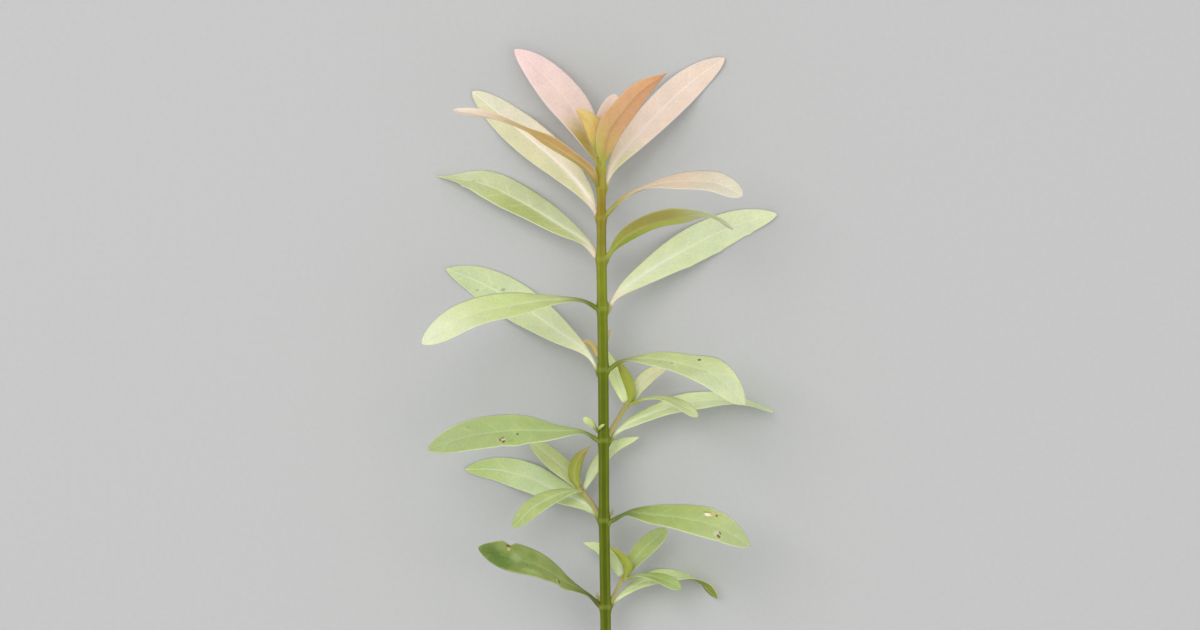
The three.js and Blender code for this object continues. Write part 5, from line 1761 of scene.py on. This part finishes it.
@dataclass
class TipAndBuds:
    """The youngest pair at the stem's tip with the bud between them, and the buds at the joints."""

    rods: tuple[Rod, ...] = (
        Rod("tip_bud", ((0.2, 45.0, 12.5), (0.25, 45.8, 12.55), (0.35, 46.8, 12.7), (0.5, 47.8, 12.9)),
            (0.3, 0.5, 0.42, 0.12), GOLD_BUD, seed=0.1),
        Rod("bud_1_left", ((0.0, -54.2, 8.7), (-0.5, -53.4, 8.85), (-0.75, -52.8, 8.95), (-0.8, -52.3, 9.0)),
            (0.36, 0.4, 0.36, 0.2), PINK_BUD, root=0.2, seed=0.3),
        Rod("bud_2_right", ((1.9, -35.4, 9.6), (2.3, -34.8, 9.7), (2.6, -34.3, 9.8), (2.9, -33.7, 9.9)),
            (0.3, 0.34, 0.26, 0.1), PINK_BUD, root=0.2, seed=0.5),
    )
    leaves: tuple[Leaf, ...] = (
        young_leaf("tip_leaf_left", 2.1, 0.5,
                   ((0.0, 43.8, 12.9, -60), (-0.6, 47.4, 13.8, -60), (-2.2, 51.3, 14.8, -60),
                    (-5.2, 54.1, 15.6, -60)),
                   LeafFinish("golden tip leaf", ("#b8b450", "#d6b86c", "#dcc27e"),
                              ("#a8b044", "#d8bc6c", "#dfc07c"), "#a0ac3c", "#d8c078", veins=0.1,
                              midrib_strength=0.3, rim="#e6d494", foot_reach=3.0, yellowing=0.2), 0.25),
        young_leaf("tip_leaf_right", 2.2, 0.55,
                   ((0.4, 43.8, 12.1, 75), (0.7, 47.3, 11.6, 75), (1.3, 52.5, 11.8, 75),
                    (3.35, 57.5, 12.6, 75)),
                   LeafFinish("pinkish tip leaf", ("#d8c08e", "#e4c4b0", "#efdcd4"),
                              ("#d4b88c", "#dcc0a0", "#e8d0c4"), "#b8b058", "#f3e2d4",
                              rim="#fbf2ee", midrib_strength=0.3), 0.45, taper=0.5),
        young_leaf("bud_leaf_3_left", 0.9, 0.7,
                   ((-0.3, -17.0, 10.2, 50), (-1.6, -15.4, 10.6, 60), (-3.7, -13.6, 10.9, 70)),
                   CLUB_BUD_LEAF, 0.65, taper=0.5),
        young_leaf("bud_leaf_3_front", 0.35, 0.55,
                   ((-0.6, -16.4, 10.9, 60), (0.0, -15.6, 11.8, 70), (0.9, -15.0, 12.2, 75)),
                   BUD_LEAF, 0.75),
        young_leaf("bud_leaf_4_left", 0.85, 0.5,
                   ((-0.3, -0.9, 10.8, -50), (-1.1, 1.2, 11, -50), (-2.2, 2.6, 11.1, -50),
                    (-4.1, 3.4, 10.9, -40)),
                   LeafFinish("tan bud leaf", ("#a8a052", "#b0a45c", "#c0ac74"),
                              ("#a89850", "#b09a58", "#bca870"), "#a09c4c", "#c4b080",
                              foot_reach=1.2, rim="#ccbc90"), 0.85, taper=0.5),
        young_leaf("bud_leaf_4_right", 0.65, 0.6,
                   ((1.1, 0.4, 9.4, 60), (1.2, 3.0, 8.6, 65), (2.4, 5.9, 8.5, 70)),
                   LeafFinish("pale pink bud leaf", ("#c8c094", "#d4c8a4", "#dccab0"),
                              ("#c0b888", "#ccc09c", "#d0c4a4"), "#b0ac68", "#e0d4b8",
                              foot_reach=1.2), 0.95),
    )

    def build(self, rods: RodSweep, blades: LeafSweep) -> list[bpy.types.Object]:
        """Builds the buds, then the small leaves."""
        return [rod.build(rods) for rod in self.rods] + [leaf.build(blades) for leaf in self.leaves]


@dataclass
class Studio:
    """A pale floor, soft light from above and a camera straight over the plant.

    Each light has its name, where it hangs and the length of its side in metres, and its power in
    watts.
    """

    lens: float = 150.0
    camera_height: float = 1112.0
    aim: tuple[float, float] = (-0.11, 9.02)
    nearest: float = 50.0
    floor_size: float = 3000.0
    floor_colour: str = "#bcbcba"
    lights: tuple[tuple[str, Point, float, float], ...] = (
        ("key", (-0.42, 0.38, 1.0), 0.7, 4.5),
        ("fill", (0.5, -0.3, 0.95), 0.9, 2.4),
    )
    sky_colour: str = "#f2f4f6"
    sky_strength: float = 0.8

    def build(self) -> None:
        """Adds the floor, the lights, the world and the camera."""
        scene = bpy.context.scene
        self.add_floor()
        for light in self.lights:
            self.add_light(*light)
        world = bpy.data.worlds.new("soft studio")
        world.use_nodes = True
        sky = world.node_tree.nodes["Background"]
        sky.inputs["Color"].default_value = linear(self.sky_colour)
        sky.inputs["Strength"].default_value = self.sky_strength
        scene.world = world
        scene.view_settings.view_transform = "Standard"

        camera = bpy.data.objects.new("camera", bpy.data.cameras.new("camera"))
        camera.data.lens = self.lens
        camera.data.clip_start = self.nearest * MM
        camera.location = (self.aim[0] * MM, self.aim[1] * MM, self.camera_height * MM)
        scene.collection.objects.link(camera)
        scene.camera = camera

    def add_floor(self) -> None:
        half = self.floor_size / 2 * MM
        corners = [(-half, -half, 0), (half, -half, 0), (half, half, 0), (-half, half, 0)]
        mesh = bpy.data.meshes.new("floor")
        mesh.from_pydata(corners, [], [(0, 1, 2, 3)])
        mesh.materials.append(self.floor_material())
        floor = bpy.data.objects.new("floor", mesh)
        bpy.context.scene.collection.objects.link(floor)

    def add_light(self, name: str, place: Point, size: float, power: float) -> None:
        """Adds a soft square light that faces the plant.

        Args:
            name: The light's name.
            place: Where it hangs, in metres.
            size: The length of its side, in metres.
            power: Its power in watts.
        """
        data = bpy.data.lights.new(name, "AREA")
        data.size = size
        data.energy = power
        light = bpy.data.objects.new(name, data)
        light.location = place
        light.rotation_euler = (-Vector(place)).to_track_quat("-Z", "Y").to_euler()
        bpy.context.scene.collection.objects.link(light)

    def floor_material(self) -> bpy.types.Material:
        """Builds a matt painted board, with a grain that keeps its grey from looking dead.

        Returns:
            The material.
        """
        material, values = new_material("matt painted board")
        tree = material.node_tree
        board = {"Vector": values["place"], "Scale": BOARD_GRAIN, "Detail": 3.0}
        grain = add_node(tree, NOISE, None, board)
        light = add_node(tree, "ShaderNodeMapRange", None, {0: grain, 1: 0.3, 2: 0.7, 3: 0.985, 4: 1.015})
        shade = {0: linear(self.floor_colour)[:3], "Scale": light}
        colour = add_node(tree, "ShaderNodeVectorMath", {"operation": "SCALE"}, shade)
        shader = add_node(tree, "ShaderNodeBsdfPrincipled", None, {"Base Color": colour, "Roughness": 0.8})
        add_node(tree, "ShaderNodeOutputMaterial", None, {"Surface": shader})
        return material


def main() -> None:
    """Builds the stage and every piece of the plant, in order, and logs each piece's number of faces."""
    logging.basicConfig(level=logging.INFO, format="%(message)s")
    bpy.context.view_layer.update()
    Studio().build()
    rods = RodSweep("rod sweep")
    blades = LeafSweep("leaf sweep")
    pieces = [MainStem().build(rods)]
    pieces += LeafPairs().build(blades)
    pieces += SideShoots().build(rods, blades)
    pieces += TipAndBuds().build(rods, blades)
    for piece in pieces:
        LOG.info("%s: %d faces", piece.name, len(piece.data.polygons))


if __name__ == "__main__":
    main()
